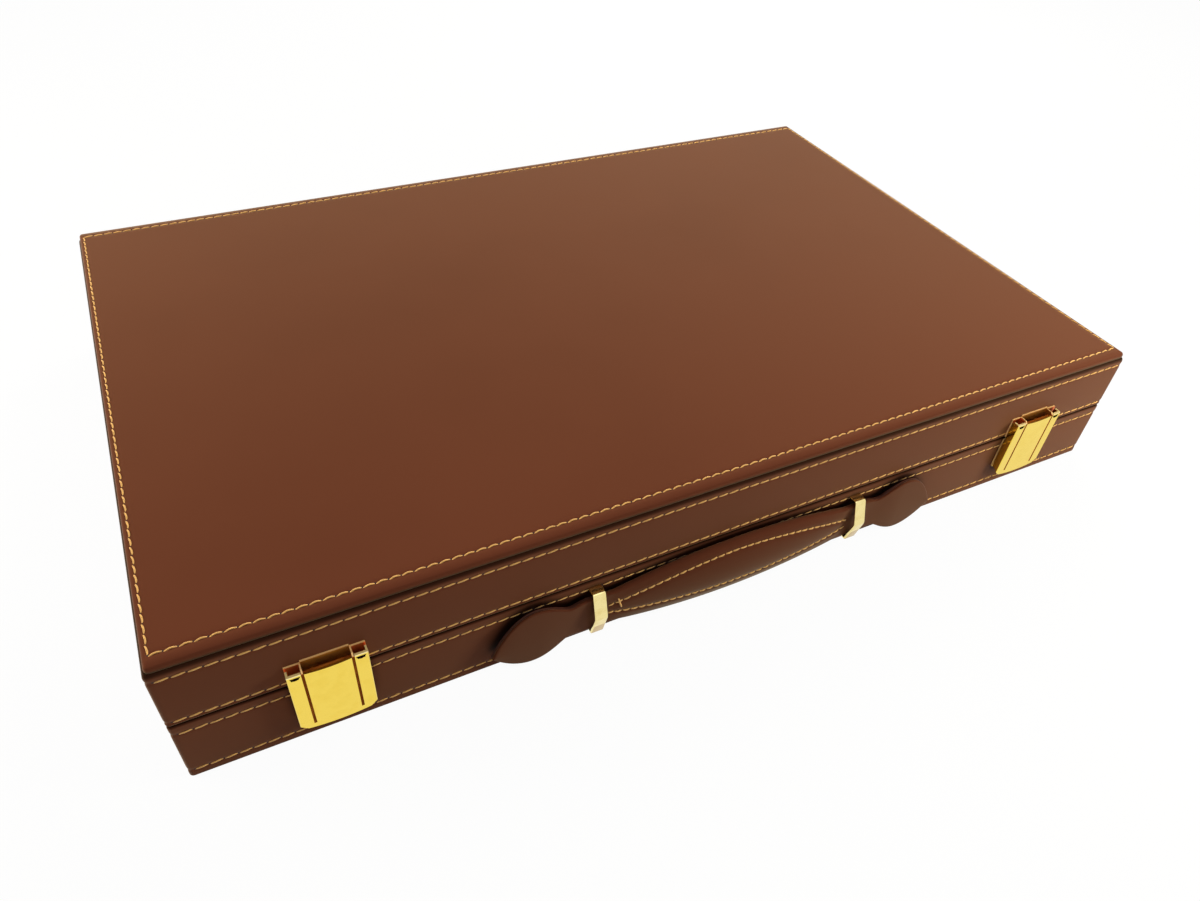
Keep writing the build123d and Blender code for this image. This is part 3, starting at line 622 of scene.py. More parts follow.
def tidyMesh(made, smooth, near=0.002):  # merged, facing outwards, smooth up to that angle
    data = made.data
    mesh = bmesh.new()
    mesh.from_mesh(data)
    bmesh.ops.remove_doubles(mesh, verts=mesh.verts, dist=near * mm)
    bmesh.ops.recalc_face_normals(mesh, faces=mesh.faces)
    mesh.to_mesh(data)
    mesh.free()
    data.polygons.foreach_set("use_smooth", [True] * len(data.polygons))
    data.set_sharp_from_angle(angle=math.radians(smooth))
    return made


def loopFaces(count, size, closed):  # quads between rings of points
    faces = []
    for k in range(count if closed else count - 1):
        a, b = k * size, (k + 1) % count * size
        for i in range(size):
            j = (i + 1) % size
            faces.append((a + i, a + j, b + j, b + i))
    return faces


def closedTube(name, rings, material, smooth):  # rings of points joined, with both ends shut
    size = len(rings[0])
    vertices = [spot for ring in rings for spot in ring]
    faces = loopFaces(len(rings), size, False)
    faces += [tuple(reversed(range(size))), tuple(range(len(vertices) - size, len(vertices)))]
    return meshObject(name, vertices, faces, material, smooth)


def prisms(name, pairs, material):  # one solid between the two rings of each pair
    vertices, faces = [], []
    for near, far in pairs:
        first, size = len(vertices), len(near)
        vertices += near + far
        faces += [tuple(first + i for i in face) for face in loopFaces(2, size, False)]
        faces.append(tuple(first + i for i in range(size)))
        faces.append(tuple(first + size + i for i in reversed(range(size))))
    return meshObject(name, vertices, faces, material)


def edgeFall(distance, radius):  # drop of a rounded edge at a distance from the outline
    reach = min(max(distance, 0.0), radius)
    return radius - math.sqrt(max(0.0, radius**2 - (radius - reach) ** 2))


def bake(made):  # what the modifiers make, as a plain mesh
    graph = bpy.context.evaluated_depsgraph_get()
    result = bpy.data.meshes.new_from_object(made.evaluated_get(graph))
    made.modifiers.clear()
    made.data = result
    return made


def settle(made, body, slot, *nodes):  # it rides on its body and stands for these nodes
    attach(made, body)
    if nodes:
        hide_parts(*nodes)
    return made


# Leather skins

skins = {
    "cornerRadius": 1.8,
    "cornerSteps": 7,
    "cornerHold": 1.5,
    "outer": 1.2,
    "rim": 1.0,
    "inner": 0.8,
    "wall": 12.4,
    "rimRadius": 1.1,
    "seatDrop": 2.2,
    "seatSteps": 7,
    "innerRimRadius": 0.5,
    "innerRimSteps": 3,
    "bottomRadius": 0.9,
    "floorTop": 5.2,
    "edgeSteps": 5,
    "edgeHold": 0.4,
    "stitchDip": 0.22,
    "stitchDipWidth": 1.0,
    "lidRows": (37.5, 62.2),
    "baseRows": (4.5, 29.5),
}

panel = {
    "topRadius": 1.9,
    "topSteps": 8,
    "topRings": 6,  # of the top edge's steps, as far as the stitching begins
    "footInset": 0.55,
    "footRise": 1.4,
    "footSteps": 6,
    "stitchSide": 236.5,
    "stitchFront": 148.8,
    "stitchBack": 149.4,
    "dip": 0.28,
    "dipWidth": 1.1,
    "dipRadius": 0.6,
    "dipRings": (-0.8, -0.4, 0.0, 0.4, 0.8, 1.2, 1.8, 2.6, 3.6, 5.0, 8.0),  # inwards, in dip widths
    "sideSink": 0.02,
    "flatInset": 12.0,
}

hinges = {"places": (-170.0, 0.0, 170.0), "half": 25.5, "reach": 11.0, "leafSpace": 1.4, "barrel": 2.9,
          "axisOut": 0.3, "steps": 20}


def roundedLoop(left, right, front, back, radius, steps):  # a rectangle with round corners, from above
    points = []
    radius = max(radius, 0.001)
    corners = [
        (right - radius, front + radius, -90),
        (right - radius, back - radius, 0),
        (left + radius, back - radius, 90),
        (left + radius, front + radius, 180),
    ]
    for x, y, start in corners:
        for k in range(steps + 1):
            angle = math.radians(start + 90 * k / steps)
            points.append((x + radius * math.cos(angle), y + radius * math.sin(angle)))
    return points


def wallLoop(inset):  # the walls' outline from above, its straights held near the corners
    steps = skins["cornerSteps"]
    ring = roundedLoop(-halfLength + inset, halfLength - inset, -halfDepth + inset, halfDepth - inset,
                       skins["cornerRadius"] - inset, steps)
    held = []
    for k, (x, y) in enumerate(ring):
        held.append((x, y))
        if k % (steps + 1) == steps:
            nextX, nextY = ring[(k + 1) % len(ring)]
            step = Vector((nextX - x, nextY - y)).normalized() * skins["cornerHold"]
            held += [(x + step.x, y + step.y), (nextX - step.x, nextY - step.y)]
    return held


def arc(centreIn, centreZ, radius, start, end, steps):  # points of a rounded edge as (inset, height)
    spots = []
    for k in range(steps + 1):
        angle = math.radians(start + (end - start) * k / steps)
        spots.append((centreIn + radius * math.cos(angle), centreZ + radius * math.sin(angle)))
    return spots


def stitchedFace(low, high, rows):  # the wall's outer line with its dips at the stitch rows
    width, hold = skins["stitchDipWidth"], skins["edgeHold"]
    heights = {low, low + hold, high - hold, high}
    for row in rows:
        heights |= {row + width * k / 2 for k in range(-4, 5)}
    spots = []
    for z in sorted(h for h in heights if low <= h <= high):
        dip = sum(math.exp(-(((z - row) / width) ** 2)) for row in rows)
        spots.append((skins["stitchDip"] * dip, z))
    return spots


def wallSkin(name, profile, material):
    vertices = []
    for inset, z in profile:
        ring = wallLoop(inset)
        vertices += [(x, y, z) for x, y in ring]
    return meshObject(name, vertices, loopFaces(len(profile), len(ring), True), material, 50)


def rimProfile(rimZ, way):  # over the rim from lining to outer face; way is 1 where the rim is on top
    edge, inner, wall = skins["rimRadius"], skins["innerRimRadius"], skins["wall"]
    over = arc(wall - inner, rimZ - way * inner, inner, 0, way * 90, skins["innerRimSteps"])
    return over + arc(edge, rimZ - way * edge, edge, way * 90, way * 180, skins["edgeSteps"])


def lidProfile():
    low, high = lidLow.z, lidHigh.z
    edge, outer, inner, wall, seat = (skins[k] for k in ("rimRadius", "outer", "inner", "wall", "seatDrop"))
    board = low + skins["rim"]
    face = stitchedFace(low + edge, high - seat, skins["lidRows"])
    bend = arc(1, 1, 1, 180, 90, skins["seatSteps"])
    shoulder = [(inset * outer, high - seat + (z - 1) * seat) for inset, z in bend]
    inside = [(outer, board), (wall - inner, board), (wall - inner, high), (wall, high)]
    return rimProfile(low, -1) + face[1:-1] + shoulder + inside


def baseProfile():
    low, high = baseLow.z, baseHigh.z
    edge, outer, inner, wall = (skins[k] for k in ("rimRadius", "outer", "inner", "wall"))
    foot, floor = skins["bottomRadius"], skins["floorTop"]
    board = high - skins["rim"]
    face = stitchedFace(low + foot, high - edge, skins["baseRows"])
    face.reverse()
    heel = arc(foot, low + foot, foot, 180, 270, skins["edgeSteps"])
    inside = [(outer, low), (outer, board), (wall - inner, board), (wall - inner, floor), (wall, floor)]
    return rimProfile(high, 1) + face[1:-1] + heel + inside


def hingeCutter():  # the room for leaves and barrels, as three prisms
    y, z = halfDepth + hinges["axisOut"], seamHeight
    half, radius, steps = hinges["leafSpace"], hinges["barrel"], hinges["steps"]
    start = math.degrees(math.asin(half / radius))
    outline = [(halfDepth - hinges["reach"], z - half), (halfDepth - hinges["reach"], z + half)]
    for k in range(steps + 1):
        angle = math.radians(180 - start - (360 - 2 * start) * k / steps)
        outline.append((y + radius * math.cos(angle), z + radius * math.sin(angle)))
    ends = [(x - hinges["half"], x + hinges["half"]) for x in hinges["places"]]
    pairs = [[[(x, a, b) for a, b in outline] for x in pair] for pair in ends]
    return prisms("hingeCutter", pairs, "caseLeather")


def cutHinges(skin, cutter):
    cut = skin.modifiers.new("hingeRoom", "BOOLEAN")
    cut.operation = "DIFFERENCE"
    cut.solver = "EXACT"
    cut.object = cutter
    return tidyMesh(bake(skin), 50)


def panelSkin():  # the wrapped top panel, drawn down along its stitching
    halfX, front, back = panelHigh.x, -panelLow.y, panelHigh.y
    low, high = panelLow.z, panelHigh.z
    top, foot, corner = panel["topRadius"], panel["footInset"], skins["cornerRadius"]
    steps = skins["cornerSteps"]

    def ringAt(side, near, far, radius):
        return roundedLoop(-halfX + side, halfX - side, -front + near, back - far, radius, steps)

    loops = [(panel["flatInset"], low)]
    bend = arc(1, 1, 1, 270, 180, panel["footSteps"])
    loops += [(inset * foot, low + z * panel["footRise"]) for inset, z in bend]
    rings = [[(x, y, z) for x, y in ringAt(inset, inset, inset, corner - inset)] for inset, z in loops]
    plans = []
    for k in range(panel["topRings"]):
        inset = top * (1 - math.cos(math.radians(90 * k / panel["topSteps"])))
        plans.append((inset, inset, inset, corner - inset, 0.0))
    side, near, far = halfX - panel["stitchSide"], front - panel["stitchFront"], back - panel["stitchBack"]
    for offset in panel["dipRings"]:
        away = offset * panel["dipWidth"]
        dip = panel["dip"] * math.exp(-(offset**2))
        plans.append((side + away, near + away, far + away, panel["dipRadius"], dip))
    for sideInset, nearInset, farInset, radius, dip in plans:
        ring = []
        for x, y in ringAt(sideInset, nearInset, farInset, radius):
            depth = min(halfX - abs(x), front + y, back - y, cornerDepth(x, y, halfX, front, back))
            ring.append((x, y, high - edgeFall(depth, top) - dip))
        rings.append(ring)
    return closedTube("lidTopSkin", rings, "caseLeather", 60)


def cornerDepth(x, y, halfX, front, back):  # how far a point is inside the panel's round corner
    radius = skins["cornerRadius"]
    dx = abs(x) - (halfX - radius)
    dy = max(-front + radius - y, y - (back - radius))
    if dx <= 0 or dy <= 0:
        return radius
    return radius - math.hypot(dx, dy)


def addSkins():
    cutter = hingeCutter()
    base = cutHinges(wallSkin("baseWallSkin", baseProfile(), "baseLeather"), cutter)
    lid = cutHinges(wallSkin("lidWallSkin", lidProfile(), "caseLeather"), cutter)
    bpy.data.objects.remove(cutter)
    settle(base, "base", "case_leather", "base_wall_leather")
    settle(lid, "lid", "case_leather", "lid_wall_leather")
    settle(panelSkin(), "lid", "case_leather", "lid_top_leather")


addSkins()
print("leather skins are in place")


# Stitching


def grower(name, inputs):  # a geometry tree with its named inputs
    inputs = {"Geometry": ("Geometry", None), **inputs}
    return newTree(name, "GeometryNodeTree", inputs, {"Geometry": "Geometry"})


def growWith(made, tree, **values):  # runs a tree on an object and keeps the plain mesh
    modifier = made.modifiers.new(tree.name, "NODES")
    modifier.node_group = tree
    sockets = {item.name: item.identifier for item in tree.interface.items_tree if item.in_out == "INPUT"}
    for key, value in values.items():
        modifier[sockets[key.replace("_", " ")]] = value
    bake(made)
    made.data.polygons.foreach_set("use_smooth", [True] * len(made.data.polygons))
    return made


def storedWay(tree):  # the way that faces out at each point
    return put(tree, "GeometryNodeInputNamedAttribute", {"Name": "outward"},
               data_type="FLOAT_VECTOR").outputs["Attribute"]


def atPoints(tree, points, piece, turn):  # a copy at each point, as real geometry
    given = {"Points": points, "Instance": piece, "Rotation": turn}
    copies = put(tree, "GeometryNodeInstanceOnPoints", given).outputs[0]
    return put(tree, "GeometryNodeRealizeInstances", {"Geometry": copies}).outputs[0]


def painted(tree, geometry, material):
    return put(tree, "GeometryNodeSetMaterial", {"Geometry": geometry, "Material": material}).outputs[0]


def spotOf(tree, parts):  # a vector from its parts: 0 for X, 1 for Y, 2 for Z
    return put(tree, "ShaderNodeCombineXYZ", parts).outputs[0]


def stitchTree():  # thread dashes at even steps along each run, standing on the surface beneath
    tree, given, out = grower("stitchRow", {
        "Pitch": ("Float", 5.3 * mm),
        "Dash": ("Float", 4.5 * mm),
        "Thread": ("Float", 0.4 * mm),
        "Rise": ("Float", 0.25 * mm),
        "Bow": ("Float", 0.3 * mm),
        "Slant": ("Float", 0.06),
        "Uneven": ("Float", 0.04),
        "Seed": ("Int", 3),
        "Thread Material": ("Material", None),
        "Hole Material": ("Material", None),
    })
    runs = put(tree, "GeometryNodeMeshToCurve", {"Mesh": given["Geometry"]}).outputs[0]
    spots = put(tree, "GeometryNodeResampleCurve", {"Curve": runs, "Length": given["Pitch"]},
                mode="LENGTH").outputs[0]
    tangent = put(tree, "GeometryNodeInputTangent").outputs[0]
    along = put(tree, "FunctionNodeAlignRotationToVector", {"Vector": tangent}, axis="X").outputs[0]
    facing = put(tree, "FunctionNodeAlignRotationToVector", {"Rotation": along, "Vector": storedWay(tree)},
                 axis="Z", pivot_axis="X").outputs[0]
    span = {2: sums(tree, "MULTIPLY", given["Uneven"], -1.0), 3: given["Uneven"], "Seed": given["Seed"]}
    wobble = put(tree, "FunctionNodeRandomValue", span).outputs[1]
    lean = spotOf(tree, {2: sums(tree, "ADD", given["Slant"], wobble)})
    turn = put(tree, "FunctionNodeEulerToRotation", {0: lean}).outputs[0]
    turned = put(tree, "FunctionNodeRotateRotation", {"Rotation": facing, "Rotate By": turn},
                 rotation_space="LOCAL").outputs[0]
    half = sums(tree, "MULTIPLY", given["Dash"], 0.5)
    sink = sums(tree, "MULTIPLY", given["Thread"], -0.75)
    crown = sums(tree, "MULTIPLY_ADD", given["Rise"], 2.0, given["Thread"])
    start = {0: sums(tree, "MULTIPLY", half, -1.0), 1: sums(tree, "MULTIPLY", given["Bow"], -1.0), 2: sink}
    bend = {"Start": spotOf(tree, start), "Middle": spotOf(tree, {1: given["Bow"], 2: crown}),
            "End": spotOf(tree, {0: half, 2: sink}), "Resolution": 6}
    line = put(tree, "GeometryNodeCurveQuadraticBezier", bend).outputs[0]
    share = put(tree, "GeometryNodeSplineParameter").outputs["Factor"]
    swell = sums(tree, "SINE", sums(tree, "MULTIPLY", share, math.pi))
    swell = sums(tree, "MULTIPLY_ADD", swell, 0.45, 0.6)
    line = put(tree, "GeometryNodeSetCurveRadius", {"Curve": line, "Radius": swell}).outputs[0]
    ring = put(tree, "GeometryNodeCurvePrimitiveCircle", {"Resolution": 6, "Radius": given["Thread"]})
    strand = {"Curve": line, "Profile Curve": ring.outputs[0], "Fill Caps": True}
    dash = painted(tree, put(tree, "GeometryNodeCurveToMesh", strand).outputs[0], given["Thread Material"])
    # a flat dark disc between the dashes: painted shade of the needle hole
    holeRadius = sums(tree, "MULTIPLY", given["Thread"], 1.25)
    hole = put(tree, "GeometryNodeMeshCircle", {"Vertices": 8, "Radius": holeRadius},
               fill_type="TRIANGLE_FAN").outputs[0]
    hole = painted(tree, hole, given["Hole Material"])
    lift = spotOf(tree, {0: sums(tree, "MULTIPLY", given["Pitch"], -0.5), 2: 0.03 * mm})
    hole = put(tree, "GeometryNodeTransform", {"Geometry": hole, "Translation": lift}).outputs[0]
    both = put(tree, "GeometryNodeJoinGeometry")
    tree.links.new(hole, both.inputs[0])
    tree.links.new(dash, both.inputs[0])
    tree.links.new(atPoints(tree, spots, both.outputs[0], turned), out["Geometry"])
    return tree


stitchRow = stitchTree()


def pathObject(name, runs):  # runs of points in millimetres, each with the way that faces out
    vertices, edges, outward = [], [], []
    for run in runs:
        first = len(vertices)
        for spot, way in run:
            vertices.append(Vector(spot) * mm)
            outward += list(Vector(way).normalized())
        edges += [(first + k, first + k + 1) for k in range(len(run) - 1)]
    data = bpy.data.meshes.new(name)
    data.from_pydata(vertices, edges, [])
    data.attributes.new("outward", "FLOAT_VECTOR", "POINT").data.foreach_set("vector", outward)
    made = bpy.data.objects.new(name, data)
    scene.collection.objects.link(made)
    return made


def sew(name, runs, look):
    made = pathObject(name, runs)
    thread, hole = paint["tanThread"], paint["needleHole"]
    for material in (thread, hole):
        made.data.materials.append(material)
    return growWith(made, stitchRow, Thread_Material=thread, Hole_Material=hole, **look)


wallStitches = {"Pitch": 5.3 * mm, "Dash": 4.5 * mm, "Thread": 0.34 * mm, "Rise": 0.16 * mm, "Bow": 0.4 * mm,
                "Slant": 0.0, "Uneven": 0.03, "Seed": 5}
panelStitches = {**wallStitches, "Pitch": 4.8 * mm, "Dash": 4.15 * mm, "Seed": 11}
stitchPlaces = {"cornerStart": 2.6, "hingeMargin": 2.0}


def wallRuns(z, besideHinges):  # one row round the four walls, left out where a hinge barrel is
    stay = stitchPlaces["cornerStart"] + wallStitches["Pitch"] / mm / 2
    x, y = halfLength - stay, halfDepth - stay
    out, deep = halfLength - skins["stitchDip"], halfDepth - skins["stitchDip"]
    runs = [
        [((-x, -deep, z), (0, -1, 0)), ((x, -deep, z), (0, -1, 0))],
        [((out, -y, z), (1, 0, 0)), ((out, y, z), (1, 0, 0))],
        [((-out, y, z), (-1, 0, 0)), ((-out, -y, z), (-1, 0, 0))],
    ]
    stops = [x]
    if besideHinges:
        reach = hinges["half"] + stitchPlaces["hingeMargin"]
        for place in reversed(hinges["places"]):
            stops += [place + reach, place - reach]
    stops.append(-x)
    for start, end in zip(stops[::2], stops[1::2]):
        runs.append([((start, deep, z), (0, 1, 0)), ((end, deep, z), (0, 1, 0))])
    return runs


def panelRuns():
    side, front, back = panel["stitchSide"], -panel["stitchFront"], panel["stitchBack"]
    z = panelHigh.z - panel["dip"]
    low = z - panel["sideSink"]
    half = panelStitches["Pitch"] / mm / 2
    up = (0, 0, 1)
    return [
        [((-side + half, front, z), up), ((side - half, front, z), up)],
        [((side, front + half, low), up), ((side, back - half, low), up)],
        [((side - half, back, z), up), ((-side + half, back, z), up)],
        [((-side, back - half, low), up), ((-side, front + half, low), up)],
    ]


def addCaseStitching():  # only the lid's lower row meets the hinge barrels
    for half, heights in (("base", skins["baseRows"]), ("lid", skins["lidRows"])):
        runs = []
        for z in heights:
            runs += wallRuns(z, z == skins["lidRows"][0])
        settle(sew(f"{half}WallStitches", runs, wallStitches), half, "case_leather")
    settle(sew("lidTopStitches", panelRuns(), panelStitches), "lid", "case_leather")


addCaseStitching()
print("case is stitched")


# Handle

strap = {
    "centre": 17.4,
    "back": 1.7,
    "front": 4.3,
    "neckHalf": 10.0,
    "gripHalf": 16.4,
    "gripEnd": 62.0,
    "join": 70.4,
    "neckEnd": 83.0,
    "neckStep": 1.5,
    "waist": 1.1,
    "waistWidth": 4.5,
    "shoulder": 100.0,
    "shoulderStep": 1.2,
    "dropHalf": 16.2,
    "dropSag": 5.0,
    "tip": 119.5,
    "tipShape": 0.95,
    "tipSteps": 22,
    "dropThin": 1.6,
    "edge": 1.0,
    "dropEdge": 0.4,
    "dropSink": 0.1,  # under the facing
    "rowSteps": 24,
    "blendStart": 66.0,
    "blendEnd": 34.0,
}

grip = {
    "crown": 4.4,
    "upperMiddle": 29.6,
    "upperEnd": 19.6,
    "lowerMiddle": 9.6,
    "lowerEnd": 14.4,
    "seamEnd": 64.0,
    "seamFade": 1.5,
    "dip": 0.45,
    "dipWidth": 1.1,
    "rowSteps": 44,
    "startSteps": (0.0, 0.4, 0.8),
    "lengthStep": 1.6,
    "stitchStart": 1.95,
    "crossStitch": ((-60.4, 21.6), (-59.6, 18.6)),
    "slopeStep": 0.4,
}
gripStitches = {"Pitch": 3.9 * mm, "Dash": 3.2 * mm, "Thread": 0.42 * mm, "Rise": 0.16 * mm,
                "Bow": 0.06 * mm, "Slant": 0.05, "Uneven": 0.05, "Seed": 17}

facing = {"start": 75.0, "full": 98.0, "thick": 1.1, "puff": 0.35, "inset": 0.15, "edge": 0.6,
          "rowSteps": 28, "lift": 0.02, "over": 0.04, "back": 0.8, "backRise": 1.75}


def strapHalf(x):  # half height of the strap at a distance from its middle
    x = abs(x)
    if x <= strap["gripEnd"]:
        rise = strap["gripHalf"] - strap["neckHalf"]
        return strap["gripHalf"] - rise * (x / strap["gripEnd"]) ** 2
    waist = strap["waist"] * math.exp(-(((x - strap["neckEnd"]) / strap["waistWidth"]) ** 2))
    if x <= strap["neckEnd"]:
        return strap["neckHalf"] - waist
    if x <= strap["shoulder"]:
        share = (x - strap["neckEnd"]) / (strap["shoulder"] - strap["neckEnd"])
        swell = (1 - math.cos(math.pi * share**0.85)) / 2
        return strap["neckHalf"] - waist + (strap["dropHalf"] - strap["neckHalf"]) * swell
    share = (x - strap["shoulder"]) / (strap["tip"] - strap["shoulder"])
    return strap["dropHalf"] * max(0.0, 1 - share**2) ** strap["tipShape"]


def middle(x):  # the strap's middle line, which sags towards the tip of the drop
    share = max(0.0, abs(x) - strap["neckEnd"]) / (strap["tip"] - strap["neckEnd"])
    return strap["centre"] - strap["dropSag"] * share**4


def seam(x, row):  # height of the grip's upper or lower stitch line
    share = min(1.0, abs(x) / grip["seamEnd"])
    start, end = grip[f"{row}Middle"], grip[f"{row}End"]
    return start + (end - start) * share**1.8


def gripFront(x, z):  # how far the padded front stands out from the wall
    share = (z - strap["centre"]) / strapHalf(x)
    length = min(1.0, abs(x) / grip["seamEnd"])
    full = math.cos(length * math.pi / 2) ** 0.7 if length < 1 else 0.0
    out = strap["front"] + grip["crown"] * full * max(0.0, 1 - share * share) ** 0.8
    fade = grip["seamFade"]
    fade = min(1.0, max(0.0, (grip["seamEnd"] + fade - abs(x)) / (2 * fade)))
    for row in ("upper", "lower"):
        out -= fade * grip["dip"] * math.exp(-(((z - seam(x, row)) / grip["dipWidth"]) ** 2))
    return out


def strip(name, places, front, back, edge, half, steps, material):  # a strap, each ring front then back
    turns = [math.sin((k / steps - 0.5) * math.pi) for k in range(steps + 1)]
    line = [(share, front, 1) for share in turns] + [(share, back, -1) for share in turns[-2:0:-1]]
    rings = []
    for x in places:
        high = max(half(x), 0.02)
        ring = []
        for share, surface, way in line:
            z = middle(x) + share * high
            out = surface(x, z) - way * edgeFall(high * (1 - abs(share)), edge)
            ring.append((x, frontY - out, z))
        rings.append(ring)
    return closedTube(name, rings, material, 55)


def spread(start, end, step):
    count = max(1, round(abs(end - start) / step))
    return [start + (end - start) * k / count for k in range(count + 1)]


def backFace(x, z):
    return strap["back"]


def addGrip(side, name):  # half the padded grip, from the middle to inside the loop
    *first, start = grip["startSteps"]
    places = [side * x for x in first + spread(start, strap["join"], grip["lengthStep"])]
    cover = strip(f"{name}GripCover", places, gripFront, backFace, strap["edge"], strapHalf,
                  grip["rowSteps"], "strapLeather")
    joinGripSeam(cover)
    runs = []
    for row in ("upper", "lower"):
        spots = [side * x for x in spread(grip["stitchStart"], grip["seamEnd"], 1.0)]
        runs.append([gripSpot(x, seam(x, row)) for x in spots[::side]])  # both sides run the same way
    if side < 0:
        runs.append([gripSpot(*spot) for spot in grip["crossStitch"]])
    thread = sew(f"{name}GripStitches", runs, gripStitches)
    start = (side * strap["blendStart"] * mm, frontY * mm, strap["centre"] * mm)
    for piece in (cover, thread):
        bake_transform(piece)
    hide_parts(f"{name}_strap_link", "grip_strap", "grip_pad")


def joinGripSeam(cover):  # no shading line where the two halves meet
    data = cover.data
    for edge in data.edges:
        if all(abs(data.vertices[v].co.x) < 0.01 * mm for v in edge.vertices):
            edge.use_edge_sharp = True


def gripSpot(x, z):  # a point on the grip's front and the way it faces
    step = grip["slopeStep"]
    slopeX = (gripFront(x + step, z) - gripFront(x - step, z)) / (2 * step)
    slopeZ = (gripFront(x, z + step) - gripFront(x, z - step)) / (2 * step)
    return (x, frontY - gripFront(x, z), z), (-slopeX, -1.0, -slopeZ)


def addTab(side, name):  # the neck and the drop: a dark-edged strap under a facing of leather
    straight = spread(strap["join"], strap["neckEnd"], strap["neckStep"])
    straight += spread(strap["neckEnd"], strap["shoulder"], strap["shoulderStep"])[1:]
    count = strap["tipSteps"]
    turn = [math.sin(math.pi / 2 * k / count) for k in range(1, count + 1)]

    def places(tip):
        end = [strap["shoulder"] + (tip - strap["shoulder"]) * t for t in turn]
        return [side * x for x in straight + end]

    core = strip(f"{name}TabStrap", places(strap["tip"]), coreFront, coreBack, strap["dropEdge"], strapHalf,
                 strap["rowSteps"], "edgePaint")
    face = strip(f"{name}DropFacing", places(strap["tip"] - facing["inset"]), facingFront, facingBack,
                 facing["edge"], facingHalf, facing["rowSteps"], "strapLeather")
    settle(core, f"{name}_tab", "strap_leather", f"{name}_handle_tab")
    settle(face, f"{name}_tab", "strap_leather", f"{name}_tab_facing")


def grown(x):  # 0 where the facing lies flat in the loop, 1 where it is at its full thickness
    share = min(1.0, max(0.0, (abs(x) - facing["start"]) / (facing["full"] - facing["start"])))
    return share * share * (3 - 2 * share)


def coreFront(x, z):
    return strap["front"] - strap["dropSink"]


def coreBack(x, z):
    return strap["back"] + strap["dropThin"] * grown(x)


def facingFront(x, z):
    across = (z - middle(x)) / max(1.0, facingHalf(x))
    puff = facing["puff"] * max(0.0, 1 - across * across)
    return strap["front"] + facing["lift"] + (facing["thick"] + puff) * grown(x)


def facingBack(x, z):
    return strap["back"] + facing["back"] + facing["backRise"] * grown(x)


def facingHalf(x):  # a hair over the strap at the neck, just inside its edge round the drop
    inset, over = facing["inset"], facing["over"]
    if abs(x) <= strap["shoulder"]:
        return strapHalf(x) + over - (inset + over) * grown(x)
    share = (abs(x) - strap["shoulder"]) / (strap["tip"] - inset - strap["shoulder"])
    return (strap["dropHalf"] - inset) * max(0.0, 1 - share**2) ** strap["tipShape"]


loop = {"half": 3.05, "sheet": 1.0, "bend": 1.1, "bendSteps": 5, "edge": 0.55, "edgeSteps": 4,
        # out from the wall and height, from the upper foot to the lower one
        "line": ((-0.4, 30.8), (4.9, 30.8), (8.8, 18.2), (5.5, 5.0), (-0.4, 5.0))}


def loopLine():  # the outer line of the bent loop, its corners rounded, each spot with its way out
    line = [Vector(spot) for spot in loop["line"]]
    spots = [line[0]]
    for before, corner, after in zip(line, line[1:], line[2:]):
        start = corner + (before - corner).normalized() * loop["bend"]
        end = corner + (after - corner).normalized() * loop["bend"]
        for k in range(loop["bendSteps"] + 1):
            t = k / loop["bendSteps"]
            spots.append(start * (1 - t) ** 2 + corner * 2 * t * (1 - t) + end * t**2)
    spots.append(line[-1])
    ways = []
    for k in range(len(spots)):
        along = (spots[min(k + 1, len(spots) - 1)] - spots[max(k - 1, 0)]).normalized()
        ways.append(Vector((-along.y, along.x)))
    return list(zip(spots, ways))


def loopSection():  # across the strip as (sideways, depth), with softly rounded outer edges
    half, edge, steps, sheet = loop["half"], loop["edge"], loop["edgeSteps"], loop["sheet"]
    turn = [math.pi / 2 * k / steps for k in range(steps + 1)]
    left = [(-half, sheet)] + [(-half + edge * (1 - math.cos(a)), edge * (1 - math.sin(a))) for a in turn]
    return left + [(-across, depth) for across, depth in reversed(left)]


def addLoop(side, name):
    section = loopSection()
    centre = side * strap["join"]
    rings = []
    for spot, way in loopLine():
        rings.append([(centre + across, frontY - (spot - way * depth).x, (spot - way * depth).y)
                      for across, depth in section])
    band = closedTube(f"{name}LoopBand", rings, "loopGold", 50)
    settle(band, "base", "loop_gold", f"{name}_handle_loop")


for side, name in ((-1, "left"), (1, "right")):
    addLoop(side, name)
    addGrip(side, name)
    addTab(side, name)
print("handle is in place")


# Latch details

latch = {"slitCentre": 9.25, "slitHalf": 0.56, "slitFoot": 13.45, "slitDrop": 0.75, "plateFront": 4.9,
         "plateBack": 3.9, "recess": 0.18, "notchCentre": 12.1, "notchHalf": 1.95, "notchDrop": 1.2,
         "notchDeep": 1.7, "notchShape": 1.5, "notchStep": 15, "notchLift": 0.02, "notchInto": 0.3}


